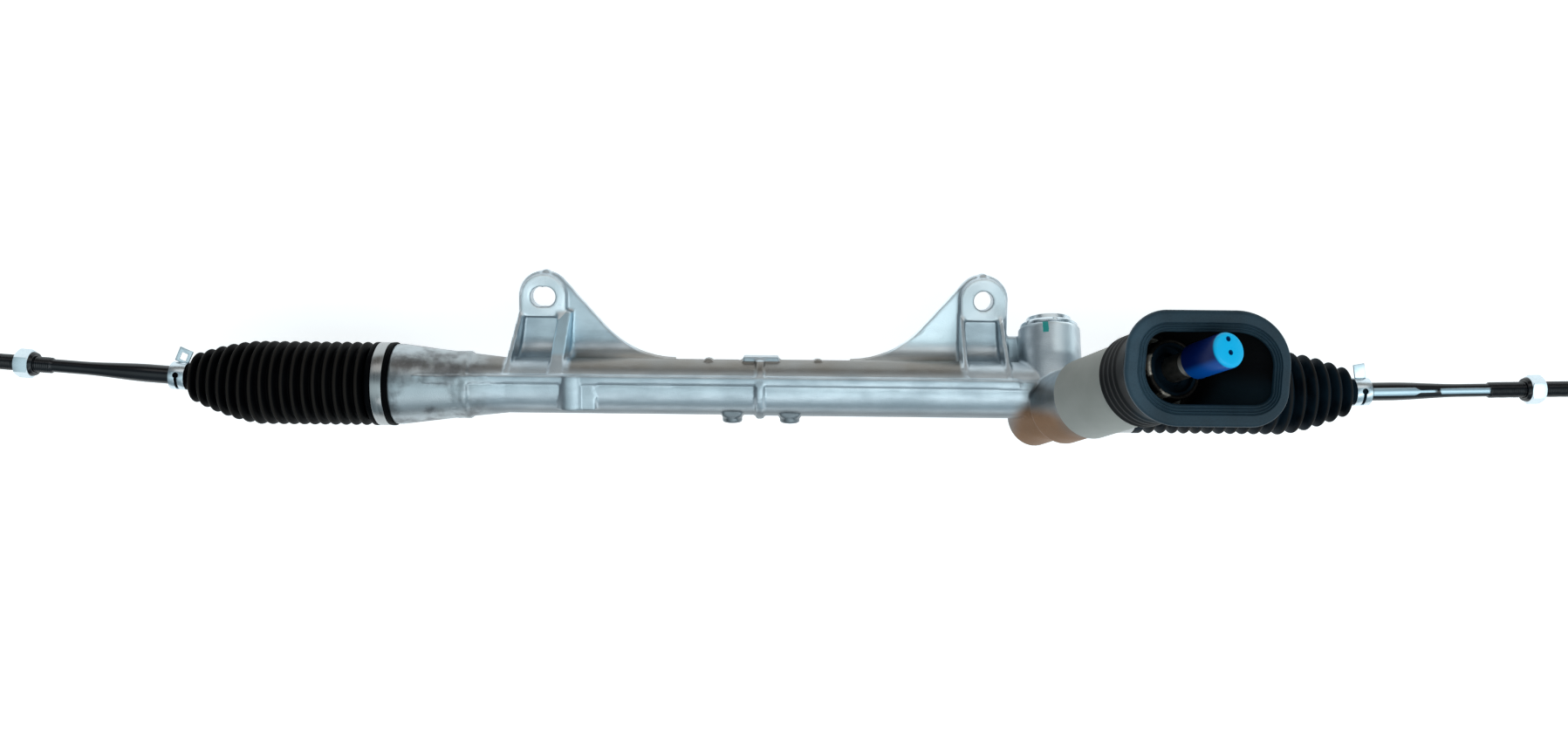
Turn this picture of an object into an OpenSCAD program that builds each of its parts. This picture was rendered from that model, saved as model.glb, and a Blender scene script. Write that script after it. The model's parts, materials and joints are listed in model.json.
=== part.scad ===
// Manual rack-and-pinion steering gear with inner tie rods and floor seal.
// Local rack frame: X along the rack, Z towards the steering shaft, origin on
// the rack axis. place() then moves the origin to the round mounting hole.

/* [Rack] */
// Diameter of the rack bar
rack_d = 25; // [24:0.5:26]
// Travel of the rack to each side of straight ahead
stroke = 70; // [60:1:72]
// Distance of the left ball centre from the middle of the gear
ball_left_x = 387; // [380:1:392]
// Distance of the right ball centre from the middle of the gear
ball_right_x = 367; // [360:1:372]
// Rest angle of the left tie rod above the rack axis
rod_left_rise = 4; // [0:0.5:6]
// Rest angle of the right tie rod above the rack axis
rod_right_rise = 1.4; // [0:0.2:4]

/* [Rack teeth and pinion] */
// Normal module of the teeth
gear_module = 2; // [1.9:0.05:2.05]
// Number of pinion teeth
pinion_teeth = 7; // [7:1:7]
// Helix angle of the pinion
pinion_helix = 30; // [28:1:31]
// Angle of the pinion axis off square to the rack
pinion_cross = 21; // [18:1:24]
// Lean of the pinion axis towards the mounting ears
pinion_lean = 20; // [16:1:22]
// Position of the pinion along the rack
mesh_x = 199; // [195:1:202]
// Distance between the rack axis and the pinion axis
mesh_offset = 16; // [15.9:0.05:16.2]

/* [Housing] */
// Outer diameter of the rack tube
tube_d = 42; // [40:0.5:43]
// Wall radius that the bellows cuffs sit on
cuff_seat_r = 27.9; // [27:0.1:28.5]
// Height of the mounting holes above the rack axis
ear_y = 65; // [60:1:70]
// Distance between the two mounting holes
ear_spacing = 331.5; // [325:0.5:335]
// Position of the round mounting hole along the rack
ear_fixed_x = 149.5; // [146:0.5:152]
// Diameter of the round mounting hole
ear_hole_d = 14.5; // [13:0.5:15]
// Thickness of an ear at its mounting hole
ear_t = 15.5; // [14:0.5:17]
// Depth of the seating faces behind the rack axis
seat_depth = 31.5; // [31.5:0.5:33]

/* [Steering shaft tower] */
// Outer diameter of the grey sleeve
sleeve_d = 57.8; // [56:0.2:60]
// Height of the steering shaft cap above the mesh point
cap_top = 200; // [196:1:204]
// Height of the floor seal face above the rack axis
seal_z = 165; // [160:1:168]

/* [Bellows] */
// Outer diameter of the bellows
bellows_d = 62; // [60:0.5:63]
// Number of even folds in the left bellows
folds_left = 10; // [9:1:11]
// Number of even folds in the right bellows
folds_right = 11; // [10:1:12]

/* [Tie rods] */
// Thread diameter of the tie rods
thread_d = 12; // [10:1:14]
// Length of a tie rod from its ball centre to its tip
rod_len = 240; // [220:5:260]
// Distance of the left jam nut from its ball centre
nut_left = 177; // [170:1:200]
// Distance of the right jam nut from its ball centre
nut_right = 191; // [170:1:200]

/* [Hidden] */
$fn = 64;

rack_r = rack_d / 2;
tube_r = tube_d / 2;
run_gap = 0.05;

// Gear geometry in the normal and transverse planes
normal_pressure = 20;
profile_shift = 0.6;
flank_gap = 0.06;
gear_len = 30;
rack_slant = pinion_helix - pinion_cross;
pitch_r = gear_module * pinion_teeth / (2 * cos(pinion_helix));
trans_pressure = atan(tan(normal_pressure) / cos(pinion_helix));
base_r = pitch_r * cos(trans_pressure);
shift = profile_shift * gear_module;
root_r = pitch_r + shift - 1.25 * gear_module;
tip_r = pitch_r + shift + 0.86 * gear_module;
trans_module = gear_module / cos(pinion_helix);
tooth_half_angle = (trans_module * PI / 4 + shift * tan(trans_pressure)) / pitch_r * 180 / PI;
normal_pitch = PI * gear_module;
rack_ref = mesh_offset - pitch_r - shift;
rack_tip = rack_ref + gear_module;
rack_root = rack_ref - 1.25 * gear_module;
rack_tooth_count = 27;

// Stations along the rack
cuff_left_from = 287.7;
cuff_left_to = 303;
left_end = 0.2 - cuff_left_to;
cuff_right_from = 246;
cuff_right_to = 264;
socket_shoulder = 22;
washer_t = 1.2;
bar_left = -(ball_left_x - socket_shoulder - washer_t);
bar_right = ball_right_x - socket_shoulder - washer_t;
stop_gap = 0.6;
left_stop = bar_left + stroke + stop_gap;
right_stop = bar_right - stroke - stop_gap;
stub_len = 24;
stub_r = 7;
ball_r = 13;
seat_r = 15;
socket_r = 17.5;
rod_r = 6.8;
nut_t = 10.5;
nut_seat_r = thread_d / 2 - 0.2;
clamp_station = 62;
clamp_groove_r = 6.3;
rubber_t = 1.6;
neck_bore_r = clamp_groove_r + run_gap;

// Stations along the pinion axis, from the mesh point
tower_bottom = -31;
tower_shoulder = 48;
tower_top = 146;
sleeve_top = 118;
bearing_at = 22;
bearing_w = 10;
neck_r = 24;
bore_r = 17.5;
shaft_r = 8;
journal_r = 8.5;
cap_base = 167;

// Yoke stack, measured square to the rack from its axis
yoke_r = 15;
yoke_back = 33;
spring_floor = 21;
plug_bottom = 38;
yoke_rim = 48;
lock_nut_t = 3.5;

// Mounting ears
ear_slot_x = ear_fixed_x - ear_spacing;
pad_r = 17;
flange_r = 19.5;
web_t = 8;
web_fillet_r = 16;
pad_front = ear_t - seat_depth;
slot_w = 15;
slot_len = 19;

module place() { translate([-ear_fixed_x, -ear_y, seat_depth]) children(); }
module along_x() { rotate([0, 90, 0]) children(); }
module lean() { rotate([-pinion_lean, 0, 0]) children(); }
module pinion_frame() {
    lean() translate([mesh_x, -mesh_offset, 0]) rotate([0, pinion_cross, 0]) children();
}
module yoke_frame() { lean() translate([mesh_x, 0, 0]) rotate([-90, 0, 0]) children(); }
module left_ball() { translate([-ball_left_x, 0, 0]) mirror([1, 0, 0]) children(); }
module right_ball() { translate([ball_right_x, 0, 0]) children(); }
module left_rod() { left_ball() rotate([0, 0, rod_left_rise]) along_x() children(); }
module right_rod() { right_ball() rotate([0, 0, rod_right_rise]) along_x() children(); }
// A body of revolution about Z from [radius, height] points
module turned(points) { rotate_extrude() polygon(points); }
// A tube about Z between two heights
module ring(outer, inner, from, to) {
    translate([0, 0, from]) difference() {
        cylinder(r = outer, h = to - from);
        translate([0, 0, -1]) cylinder(r = inner, h = to - from + 2);
    }
}

// Housing: an aluminium pressure die casting

module ear_plate(x) {
    translate([x, ear_y]) circle(r = flange_r);
    translate([x - flange_r, 0]) square([2 * flange_r, ear_y]);
}
// Outline of a web that runs from an ear into the tube; side is +1 or -1
module gusset(x, side) {
    slope = 48;
    sweep_r = 72;
    foot = 19.2;
    top = [flange_r * sin(slope), ear_y + flange_r * cos(slope)];
    bend_y = foot + sweep_r * (1 - cos(slope));
    bend_x = top[0] + (top[1] - bend_y) / tan(slope);
    end_x = bend_x + sweep_r * sin(slope);
    arc = [for (a = [slope : -slope / 8 : 0])
        [end_x - sweep_r * sin(a), foot + sweep_r * (1 - cos(a))]];
    translate([x, 0]) scale([side, 1])
        polygon(concat([[0, 0], [0, ear_y], top], arc, [[end_x, 0]]));
}
// Section of the webs across the rack: flat above, filleted down to the tube
module web_section() {
    front = web_t - seat_depth;
    foot_y = 19;
    arc = [for (a = [0 : 15 : 60]) [foot_y + web_fillet_r * (1 - sin(a)),
        front + web_fillet_r * (1 - cos(a))]];
    polygon(concat([[0, -seat_depth], [90, -seat_depth], [90, front],
        [foot_y + web_fillet_r, front]], arc, [[foot_y - 2, -4], [0, -4]]));
}
// Stiffening rib from a pad down to the front of the tube; tilt leans its foot outwards
module ear_rib(x, tilt) {
    rib_t = 3.6;
    rib_back = 3 - seat_depth;
    translate([x, 52, 0]) rotate([0, 0, tilt]) translate([-rib_t / 2, -52, 0])
        rotate([90, 0, 90]) linear_extrude(rib_t) polygon([[54.2, pad_front - 1],
            [54.2, rib_back], [4, rib_back], [4, 20.4], [9, 20.4]]);
}
module ear(x, side, ribs) {
    intersection() {
        translate([0, 0, -seat_depth]) linear_extrude(40) {
            ear_plate(x);
            gusset(x, side);
        }
        translate([x - 150, 0, 0]) rotate([90, 0, 90]) linear_extrude(300) web_section();
    }
    translate([0, 0, -seat_depth]) linear_extrude(ear_t) {
        translate([x, ear_y]) circle(r = pad_r);
        translate([x, 0]) polygon([[-pad_r, ear_y], [-pad_r, 53], [-pad_r + 4, 50],
            [pad_r - 4, 50], [pad_r, 53], [pad_r, ear_y]]);
    }
    for (rib = ribs) ear_rib(x + rib[0], rib[1]);
}
module ear_holes() {
    drill = ear_t + 30;
    translate([ear_fixed_x, ear_y, -seat_depth - 5]) cylinder(d = ear_hole_d, h = drill);
    for (s = [-1, 1])
        translate([ear_slot_x + s * (slot_len - slot_w) / 2, ear_y, -seat_depth - 5])
            cylinder(d = slot_w, h = drill);
    translate([ear_slot_x - (slot_len - slot_w) / 2, ear_y - slot_w / 2, -seat_depth - 5])
        cube([slot_len - slot_w, slot_w, drill]);
}
module tube_shell() {
    along_x() turned([[0, left_end], [cuff_seat_r - 0.8, left_end],
        [cuff_seat_r, left_end + 0.8], [cuff_seat_r, -cuff_left_from],
        [29.2, -cuff_left_from], [29.9, 0.8 - cuff_left_from], [29.9, -284],
        [26.7, -258], [23.6, -232], [21.6, -214], [tube_r - 0.5, -204], [tube_r - 0.5, -20], [tube_r, -20],
        [tube_r, cuff_right_from - 6], [29, cuff_right_from - 4],
        [29, cuff_right_from], [cuff_seat_r, cuff_right_from],
        [cuff_seat_r, cuff_right_to - 1], [cuff_seat_r - 0.8, cuff_right_to - 0.2],
        [20, cuff_right_to - 0.2], [20, right_stop],
        [0, right_stop]]);
}
module tube_details() {
    // Joint ring and flat pad half way along
    translate([-20.6, 0, 0]) along_x() cylinder(r = tube_r + 2.3, h = 5.7);
    translate([-30.3, 8, -8]) cube([26.6, 15.6, 16]);
    // Longitudinal parting rib with its step on the front
    translate([-266, 4.4, 10]) cube([438, 5.6, 12.2]);
    translate([-266, -10, -22.2]) cube([438, 5.6, 12]);
    // Upright half-round boss near the slotted ear, with its land
    translate([-155.5, 10, 13]) rotate([90, 0, 0]) cylinder(r = 11.2, h = 26);
    translate([-155.5, -16, 12]) cube([18, 20, 9]);
    // Ejector lugs
    for (x = [-38, 4.6]) translate([x, -18.5, -10]) cylinder(r = 7.2, h = 22);
    for (x = [-56, 25]) translate([x, 17.5, -5]) cylinder(r = 4.5, h = 12);
}
module pinion_tower() {
    pinion_frame() turned([[0, tower_bottom], [19.5, tower_bottom],
        [21, tower_bottom + 2.5], [21, 8], [26, 12], [26.5, 13],
        [26.5, tower_shoulder - 1.5], [25.5, tower_shoulder],
        [neck_r, tower_shoulder], [neck_r, 110], [20.5, 114],
        [20.5, tower_top - 1], [19.5, tower_top], [0, tower_top]]);
}
module yoke_tower() {
    yoke_frame() turned([[0, 0], [23.6, 0], [22.9, yoke_rim - 1.5],
        [21.8, yoke_rim], [0, yoke_rim]]);
    // Web between the yoke tower and the round ear
    translate([160, 2, -seat_depth]) cube([26, 36, web_t]);
    // Blade that carries the parting rib on to the tower
    translate([158, 3, 8]) cube([40, 6, 13.5]);
}
module housing_bores() {
    along_x() {
        translate([0, 0, left_end - 1]) cylinder(r = 20.5, h = left_stop - left_end + 1);
        translate([0, 0, left_stop - 1]) cylinder(r = bore_r, h = 33);
        translate([0, 0, left_stop]) cylinder(r = 14, h = right_stop - left_stop + 1);
    }
    pinion_frame() {
        translate([0, 0, tower_bottom - 1]) cylinder(r = 13, h = 3.5);
        translate([0, 0, tower_bottom]) cylinder(r = 9, h = 20);
        translate([0, 0, -16]) cylinder(r = 12.4, h = 17 + bearing_at);
        translate([0, 0, bearing_at]) cylinder(r = bore_r, h = tower_top);
    }
    yoke_frame() {
        cylinder(r = yoke_r + run_gap, h = yoke_rim);
        translate([0, 0, plug_bottom]) cylinder(r = 18, h = yoke_rim);
    }
}
module housing() {
    color([0.62, 0.68, 0.72]) difference() {
        union() {
            tube_shell();
            tube_details();
            ear(ear_slot_x, 1, [[-16.6, -7], [19.5, -3]]);
            ear(ear_fixed_x, -1, [[-15.8, 0], [13, 4]]);
            pinion_tower();
            yoke_tower();
        }
        ear_holes();
        housing_bores();
    }
}
// Plastic bush that guides the free end of the rack
module rack_bush() {
    color("ivory") translate([left_stop, 0, 0]) along_x() difference() {
        ring(bore_r, rack_r + run_gap, 0, 32);
        for (a = [0 : 120 : 240]) rotate([0, 0, a]) translate([12, -1, 6]) cube([7, 2, 27]);
    }
}

// Rack and pinion

// Comb of tooth gaps across the rack, in the plane square to the teeth
module rack_gaps() {
    ref_half = normal_pitch / 4 + flank_gap;
    slope = tan(normal_pressure);
    tip_half = ref_half + gear_module * slope;
    root_half = ref_half - 1.25 * gear_module * slope;
    half = (rack_tooth_count - 1) / 2;
    first = -half * normal_pitch - tip_half;
    last = half * normal_pitch + tip_half;
    gaps = [for (k = [-half : half]) let (c = k * normal_pitch) each
        [[c - tip_half, -rack_tip], [c - root_half, -rack_root],
         [c + root_half, -rack_root], [c + tip_half, -rack_tip]]];
    polygon(concat([[first, -rack_r - 2]], gaps, [[last, -rack_r - 2]]));
}
module rack_bar() {
    color([0.5, 0.52, 0.54]) difference() {
        translate([bar_left, 0, 0]) along_x() cylinder(r = rack_r, h = bar_right - bar_left);
        lean() translate([mesh_x, 0, 0]) rotate([0, -rack_slant, 0])
            linear_extrude(60, center = true) rack_gaps();
        for (x = [bar_left - 1, bar_right - stub_len])
            translate([x, 0, 0]) along_x() cylinder(r = stub_r, h = stub_len + 1);
    }
}
function involute(a) = tan(a) * 180 / PI - a;
function flank_angle(r) = tooth_half_angle + involute(trans_pressure)
    - (r > base_r ? involute(acos(base_r / r)) : 0);
function polar(r, a) = [r * cos(a), r * sin(a)];
module pinion_section() {
    steps = 4;
    radii = concat([root_r], [for (i = [0 : steps]) base_r + (tip_r - base_r) * i / steps]);
    polygon([for (k = [0 : pinion_teeth - 1]) let (c = 90 + k * 360 / pinion_teeth) each
        concat([for (r = radii) polar(r, c - flank_angle(r))],
               [for (i = [steps + 1 : -1 : 0]) polar(radii[i], c + flank_angle(radii[i]))])]);
}
module pinion_shaft() {
    twist_angle = gear_len * tan(pinion_helix) / pitch_r * 180 / PI;
    serrations = 30;
    color([0.55, 0.56, 0.58]) pinion_frame() {
        rotate([0, 0, -twist_angle / 2])
            linear_extrude(gear_len, center = true, twist = -twist_angle, slices = 26)
                pinion_section();
        turned([[0, -27.5], [5.6, -27.5], [6, -27], [6, 1 - gear_len / 2], [0, 1 - gear_len / 2]]);
        turned([[0, gear_len / 2 - 1], [root_r - 0.5, gear_len / 2 - 1],
            [root_r - 0.5, gear_len / 2 + 0.5], [11.5, 18.5], [11.5, bearing_at], [journal_r, bearing_at],
            [journal_r, bearing_at + bearing_w + 3], [shaft_r, bearing_at + bearing_w + 4],
            [shaft_r, 127], [journal_r, 128], [journal_r, 160], [7, 162], [7, 165],
            [0, 165]]);
        translate([0, 0, 165]) linear_extrude(30) polygon([for (i = [0 : 2 * serrations - 1])
            polar(i % 2 == 0 ? 8 : 7.3, i * 180 / serrations)]);
    }
}
module needle_bearing() {
    needles = 14;
    lip_t = 0.8;
    from = -28.4;
    to = -16.4;
    color("silver") pinion_frame() {
        ring(9, 8, from, to);
        for (z = [from, to - lip_t]) ring(8.4, 6.1, z, z + lip_t);
        for (i = [0 : needles - 1]) rotate([0, 0, i * 360 / needles])
            translate([7.12, 0, from + lip_t / 2]) cylinder(r = 0.95, h = to - from - lip_t);
    }
}
module pinion_end_cap() {
    color("silver") pinion_frame()
        turned([[0, tower_bottom + 0.4], [12.2, tower_bottom + 0.4],
            [13, tower_bottom + 1.2], [13, tower_bottom + 2.5], [0, tower_bottom + 2.5]]);
}
module bearing_groove() {
    rotate_extrude() translate([13, bearing_at + bearing_w / 2]) circle(r = 3);
}
module bearing_outer_ring() {
    color("silver") pinion_frame() difference() {
        ring(bore_r, 14.9, bearing_at, bearing_at + bearing_w);
        bearing_groove();
    }
}
module bearing_inner_ring() {
    color("silver") pinion_frame() difference() {
        ring(11.1, journal_r, bearing_at, bearing_at + bearing_w);
        bearing_groove();
    }
}
module bearing_balls() {
    balls = 11;
    mid = bearing_at + bearing_w / 2;
    color("gainsboro") pinion_frame() {
        ring(13.9, 12.1, mid - 0.7, mid + 0.7);
        for (i = [0 : balls - 1]) rotate([0, 0, i * 360 / balls])
            translate([13, 0, mid]) sphere(r = 2.95);
    }
}
module bearing_circlip() {
    color("dimgray") pinion_frame() difference() {
        ring(bore_r, 15, bearing_at + bearing_w, bearing_at + bearing_w + 1.6);
        translate([0, -4, bearing_at]) cube([20, 8, 20]);
    }
}
module shaft_bush() {
    color("tan") pinion_frame() ring(bore_r, journal_r + run_gap, 129, 137);
}
module shaft_oil_seal() {
    color([0.12, 0.12, 0.12]) pinion_frame()
        turned([[bore_r, 138], [bore_r, 145], [15.6, 145], [15.6, 140.5],
            [11.4, 140.5], [9.4, 144.6], [journal_r + 0.1, 143.6], [10, 138]]);
}
module column_sleeve() {
    color([0.62, 0.63, 0.6]) pinion_frame()
        turned([[neck_r, tower_shoulder], [sleeve_d / 2 - 0.8, tower_shoulder],
            [sleeve_d / 2, tower_shoulder + 0.8], [sleeve_d / 2, sleeve_top],
            [26, sleeve_top + 2], [neck_r, sleeve_top - 5]]);
}

// Floor seal: a rubber shroud from the round sleeve to an oval flange

module seal_outline(grow) {
    for (c = [[247.5, 34.5, 36.2], [279.5, 36, 35.4], [237, 46.4, 25], [291.5, 21.3, 23]])
        translate([c[0], c[1]]) circle(r = c[2] + grow, $fn = 32);
}
module seal_loft(neck, grow, from, top) {
    hull() {
        pinion_frame() translate([0, 0, from]) cylinder(r = neck, h = 2, $fn = 32);
        translate([0, 0, top - 2]) linear_extrude(2) hull() seal_outline(grow);
    }
}
module floor_seal() {
    color([0.16, 0.2, 0.24]) difference() {
        union() {
            pinion_frame() translate([0, 0, 106.6]) cylinder(r = 31.6, h = 20);
            seal_loft(30.9, -4, 124, seal_z - 3);
            translate([0, 0, seal_z - 5]) linear_extrude(5) hull() seal_outline(0);
        }
        pinion_frame() translate([0, 0, 100]) cylinder(r = sleeve_d / 2 + 0.05, h = 27);
        seal_loft(27.9, -9.5, 122, seal_z + 1);
    }
}
module spline_cap() {
    cap_r = 11.4;
    color([0.02, 0.5, 0.9]) pinion_frame() difference() {
        turned([[0, cap_base], [cap_r, cap_base], [cap_r, cap_top - 2.4],
            [cap_r - 0.8, cap_top - 0.8], [cap_r - 2.4, cap_top], [0, cap_top]]);
        translate([0, 0, cap_base - 1]) cylinder(r = 8, h = 196.5 - cap_base);
        for (s = [-1, 1]) rotate([0, 0, 40]) translate([0, s * 4, cap_top - 1.5])
            cylinder(r = 1.1, h = 3);
    }
}

// Support yoke that presses the rack against the pinion

module support_yoke() {
    color("darkgray") difference() {
        yoke_frame() turned([[0, 3], [yoke_r, 3], [yoke_r, 24], [yoke_r - 1.6, 24],
            [yoke_r - 1.6, 27], [yoke_r, 27], [yoke_r, yoke_back - 1],
            [yoke_r - 1, yoke_back], [7.5, yoke_back], [7.5, spring_floor], [0, spring_floor]]);
        translate([mesh_x - 20, 0, 0]) along_x() cylinder(r = rack_r + 1.1, h = 40);
    }
}
module yoke_pad() {
    color("ivory") lean() intersection() {
        translate([mesh_x - 12, 0, 0]) along_x() ring(rack_r + 1.1, rack_r + run_gap, 0, 24);
        translate([mesh_x - 12, 5, -12]) cube([24, 12, 24]);
    }
}
// Coil of round wire about Z, as one closed skin
module coil(r, wire, turns, pitch) {
    sides = 6;
    turn_steps = 16;
    steps = turns * turn_steps;
    points = [for (k = [0 : steps], i = [0 : sides - 1])
        let (a = k * 360 / turn_steps, b = i * 360 / sides, q = r + wire * cos(b))
        [q * cos(a), q * sin(a), k * pitch / turn_steps + wire * sin(b)]];
    skin = [for (k = [0 : steps - 1], i = [0 : sides - 1])
        let (a = k * sides + i, b = k * sides + (i + 1) % sides) [a, b, b + sides, a + sides]];
    polyhedron(points, concat([[for (i = [sides - 1 : -1 : 0]) i]], skin,
        [[for (i = [0 : sides - 1]) steps * sides + i]]));
}
module yoke_spring() {
    wire = 1.2;
    turns = 4;
    span = plug_bottom - spring_floor - 2 * wire;
    color("dimgray") yoke_frame() translate([0, 0, spring_floor + wire])
        coil(5.9, wire, turns, span / turns);
}
module yoke_o_ring() {
    color([0.1, 0.1, 0.1]) yoke_frame() rotate_extrude()
        translate([yoke_r - 0.78, 25.5]) circle(r = 0.8, $fn = 24);
}
module yoke_plug() {
    color([0.7, 0.72, 0.74]) yoke_frame() difference() {
        turned([[0, plug_bottom], [18, plug_bottom], [18, yoke_rim + lock_nut_t],
            [16.6, yoke_rim + lock_nut_t], [16.6, yoke_rim + 6.4], [15.8, yoke_rim + 7.2],
            [0, yoke_rim + 7.2]]);
        translate([0, 0, yoke_rim + 2]) cylinder(d = 17 / cos(30), h = 12, $fn = 6);
    }
}
module yoke_lock_nut() {
    color([0.75, 0.78, 0.8]) yoke_frame()
        turned([[18, yoke_rim], [21.4, yoke_rim], [21.4, yoke_rim + 1.5],
            [19.6, yoke_rim + lock_nut_t], [18, yoke_rim + lock_nut_t]]);
}

// Inner ball joints, tie rods and what is on them

module socket() {
    stub_end = -socket_shoulder - stub_len;
    along_x() difference() {
        turned([[0, stub_end], [stub_r - 1, stub_end], [stub_r, stub_end + 1],
            [stub_r, -socket_shoulder], [socket_r - 1.2, -socket_shoulder],
            [socket_r, -socket_shoulder + 1.2], [socket_r, 4], [14.6, 10.2], [0, 10.2]]);
        sphere(r = seat_r + run_gap);
        cylinder(r1 = 10.4, r2 = 13.6, h = 12);
        // Spanner flats
        for (s = [-1, 1]) translate([-20, s * 26.5 - 10, -socket_shoulder - 1]) cube([40, 20, 14]);
    }
}
module ball_seat() {
    along_x() difference() {
        sphere(r = seat_r);
        sphere(r = ball_r + run_gap);
        translate([0, 0, 7.6]) cylinder(r = 20, h = 10);
        translate([0, 0, -20]) cylinder(r = 5, h = 10);
    }
}
// The thread is at its mean diameter under the jam nut and at its full one outside it
module rod_body(nut_at) {
    neck = 6.2;
    waist_r = 4.9;
    thread_from = 158;
    free_from = nut_at + nut_t / 2 + 1;
    difference() {
        union() {
            sphere(r = ball_r);
            turned([[0, 0], [neck, 0], [neck, 17], [rod_r, 21], [rod_r, 88],
                [waist_r, 132], [waist_r, thread_from - 2], [nut_seat_r, thread_from],
                [nut_seat_r, free_from], [thread_d / 2, free_from],
                [thread_d / 2, rod_len - 1.5], [thread_d / 2 - 1.5, rod_len], [0, rod_len]]);
        }
        ring(rod_r + 1, clamp_groove_r, clamp_station - 7.2, clamp_station + 5.2);
    }
}
module socket_washer(x) {
    translate([x, 0, 0]) along_x() ring(socket_r - 2, stub_r, -washer_t, 0);
}
module jam_nut(at) {
    af = 19;
    translate([0, 0, at - nut_t / 2]) difference() {
        intersection() {
            rotate([0, 0, 30]) cylinder(d = af / cos(30), h = nut_t, $fn = 6);
            turned([[0, 0], [af / 2, 0], [af / 2 + 1.5, 0.9],
                [af / 2 + 1.5, nut_t - 0.9], [af / 2, nut_t], [0, nut_t]]);
        }
        translate([0, 0, -1]) cylinder(r = nut_seat_r, h = nut_t + 2);
    }
}

// Bellows, modelled with their folds: a straight run up to the ball joint and
// a tapered run in line with the tie rod

function reversed(list) = [for (i = [len(list) - 1 : -1 : 0]) list[i]];
// Wall section from its outer points, inwards by the rubber thickness
function walled(points, wall = rubber_t) =
    concat(points, reversed([for (p = points) [p[0] - wall, p[1]]]));
module bellows(cuff_from, cuff_to, ball, folds, taper_folds, tip_depth, rise) {
    crest = bellows_d / 2;
    root = crest - 5.6;
    tuck = 0.7;
    last = 18.5;
    tip = clamp_station - 5;
    start = cuff_to + 3;
    pitch = (ball - start) / (folds + 0.5);
    taper_pitch = (tip - 8) / taper_folds;
    taper = [for (i = [0 : taper_folds])
        crest - (crest - last) * pow(i / taper_folds, 1.6)];
    along_x() {
        turned([[cuff_seat_r, cuff_from], [crest, cuff_from], [crest, cuff_from + 3],
            [30, cuff_from + 3], [30, cuff_from + 12.4], [crest, cuff_from + 12.4],
            [crest, cuff_to], [root, start], [root - rubber_t, start],
            [cuff_seat_r, cuff_to + 0.3]]);
        translate([0, 0, start]) turned(walled([for (i = [0 : folds]) each
            [[root, i * pitch], [crest - (i == folds ? tuck : 0), (i + 0.5) * pitch]]]));
        // Rounded, thicker fold on the centre of the ball joint; both runs end inside it
        translate([0, 0, ball])
            turned(walled([for (a = [-6 : 4 : 6]) crest * [cos(a), sin(a)]], 2.2 * rubber_t));
    }
    translate([ball, 0, 0]) rotate([0, 0, rise]) along_x() {
        turned(walled(concat([[crest - tuck, 0]],
            [for (i = [0 : taper_folds - 1]) each [[taper[i] - tip_depth, (i + 0.5) * taper_pitch],
                [taper[i + 1], (i + 1) * taper_pitch]]],
            [[9.2, tip - 0.5]])));
        turned([[neck_bore_r, tip - 2], [9.6, tip - 2], [9.2, tip - 0.5],
            [9.2, tip + 10], [neck_bore_r, tip + 10]]);
    }
}
// Flat steel band with a crimped ear, turned to the far side
module band_clamp(from) {
    along_x() {
        ring(30.9, 30, from, from + 8);
        rotate([0, 0, 320]) difference() {
            translate([30.2, -5, from + 0.5]) cube([4.8, 10, 7]);
            translate([29, -4.2, from]) cube([5.2, 8.4, 8]);
        }
    }
}
// Spring band clamp with two upright tangs
module tang(width, height) {
    difference() {
        translate([9.4, -0.6, -width / 2]) cube([height, 1.2, width]);
        translate([12, -2, -width / 2 + 2.6]) cube([height - 5, 4, width - 5.2]);
    }
}
module spring_clamp() {
    translate([0, 0, clamp_station]) {
        ring(10.05, 9.25, -4, 4);
        rotate([0, 0, 180]) tang(10, 9);
        rotate([0, 0, 90]) tang(10.4, 8);
    }
}

module socket_left() { color([0.5, 0.52, 0.54]) left_ball() socket(); }
module socket_right() { color([0.5, 0.52, 0.54]) right_ball() socket(); }
module socket_washer_left() { color("silver") left_ball() socket_washer(-socket_shoulder); }
module socket_washer_right() { color("silver") right_ball() socket_washer(-socket_shoulder); }
module ball_seat_left() { color("ivory") left_ball() ball_seat(); }
module ball_seat_right() { color("ivory") right_ball() ball_seat(); }
module tie_rod_left() { color([0.06, 0.06, 0.07]) left_rod() rod_body(nut_left); }
module tie_rod_right() { color([0.06, 0.06, 0.07]) right_rod() rod_body(nut_right); }
module jam_nut_left() { color([0.66, 0.76, 0.82]) left_rod() jam_nut(nut_left); }
module jam_nut_right() { color([0.66, 0.76, 0.82]) right_rod() jam_nut(nut_right); }
module bellows_left() {
    color([0.05, 0.05, 0.06]) mirror([1, 0, 0])
        bellows(cuff_left_from, cuff_left_to, ball_left_x, folds_left, 6, 6, rod_left_rise);
}
module bellows_right() {
    color([0.05, 0.05, 0.06])
        bellows(cuff_right_from, cuff_right_to, ball_right_x, folds_right, 5, 8, rod_right_rise);
}
module band_clamp_left() { color("silver") mirror([1, 0, 0]) band_clamp(291.4); }
module band_clamp_right() { color("silver") band_clamp(cuff_right_from + 3.7); }
module spring_clamp_left() { color([0.7, 0.78, 0.82]) left_rod() spring_clamp(); }
module spring_clamp_right() { color([0.7, 0.78, 0.82]) right_rod() spring_clamp(); }

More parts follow.
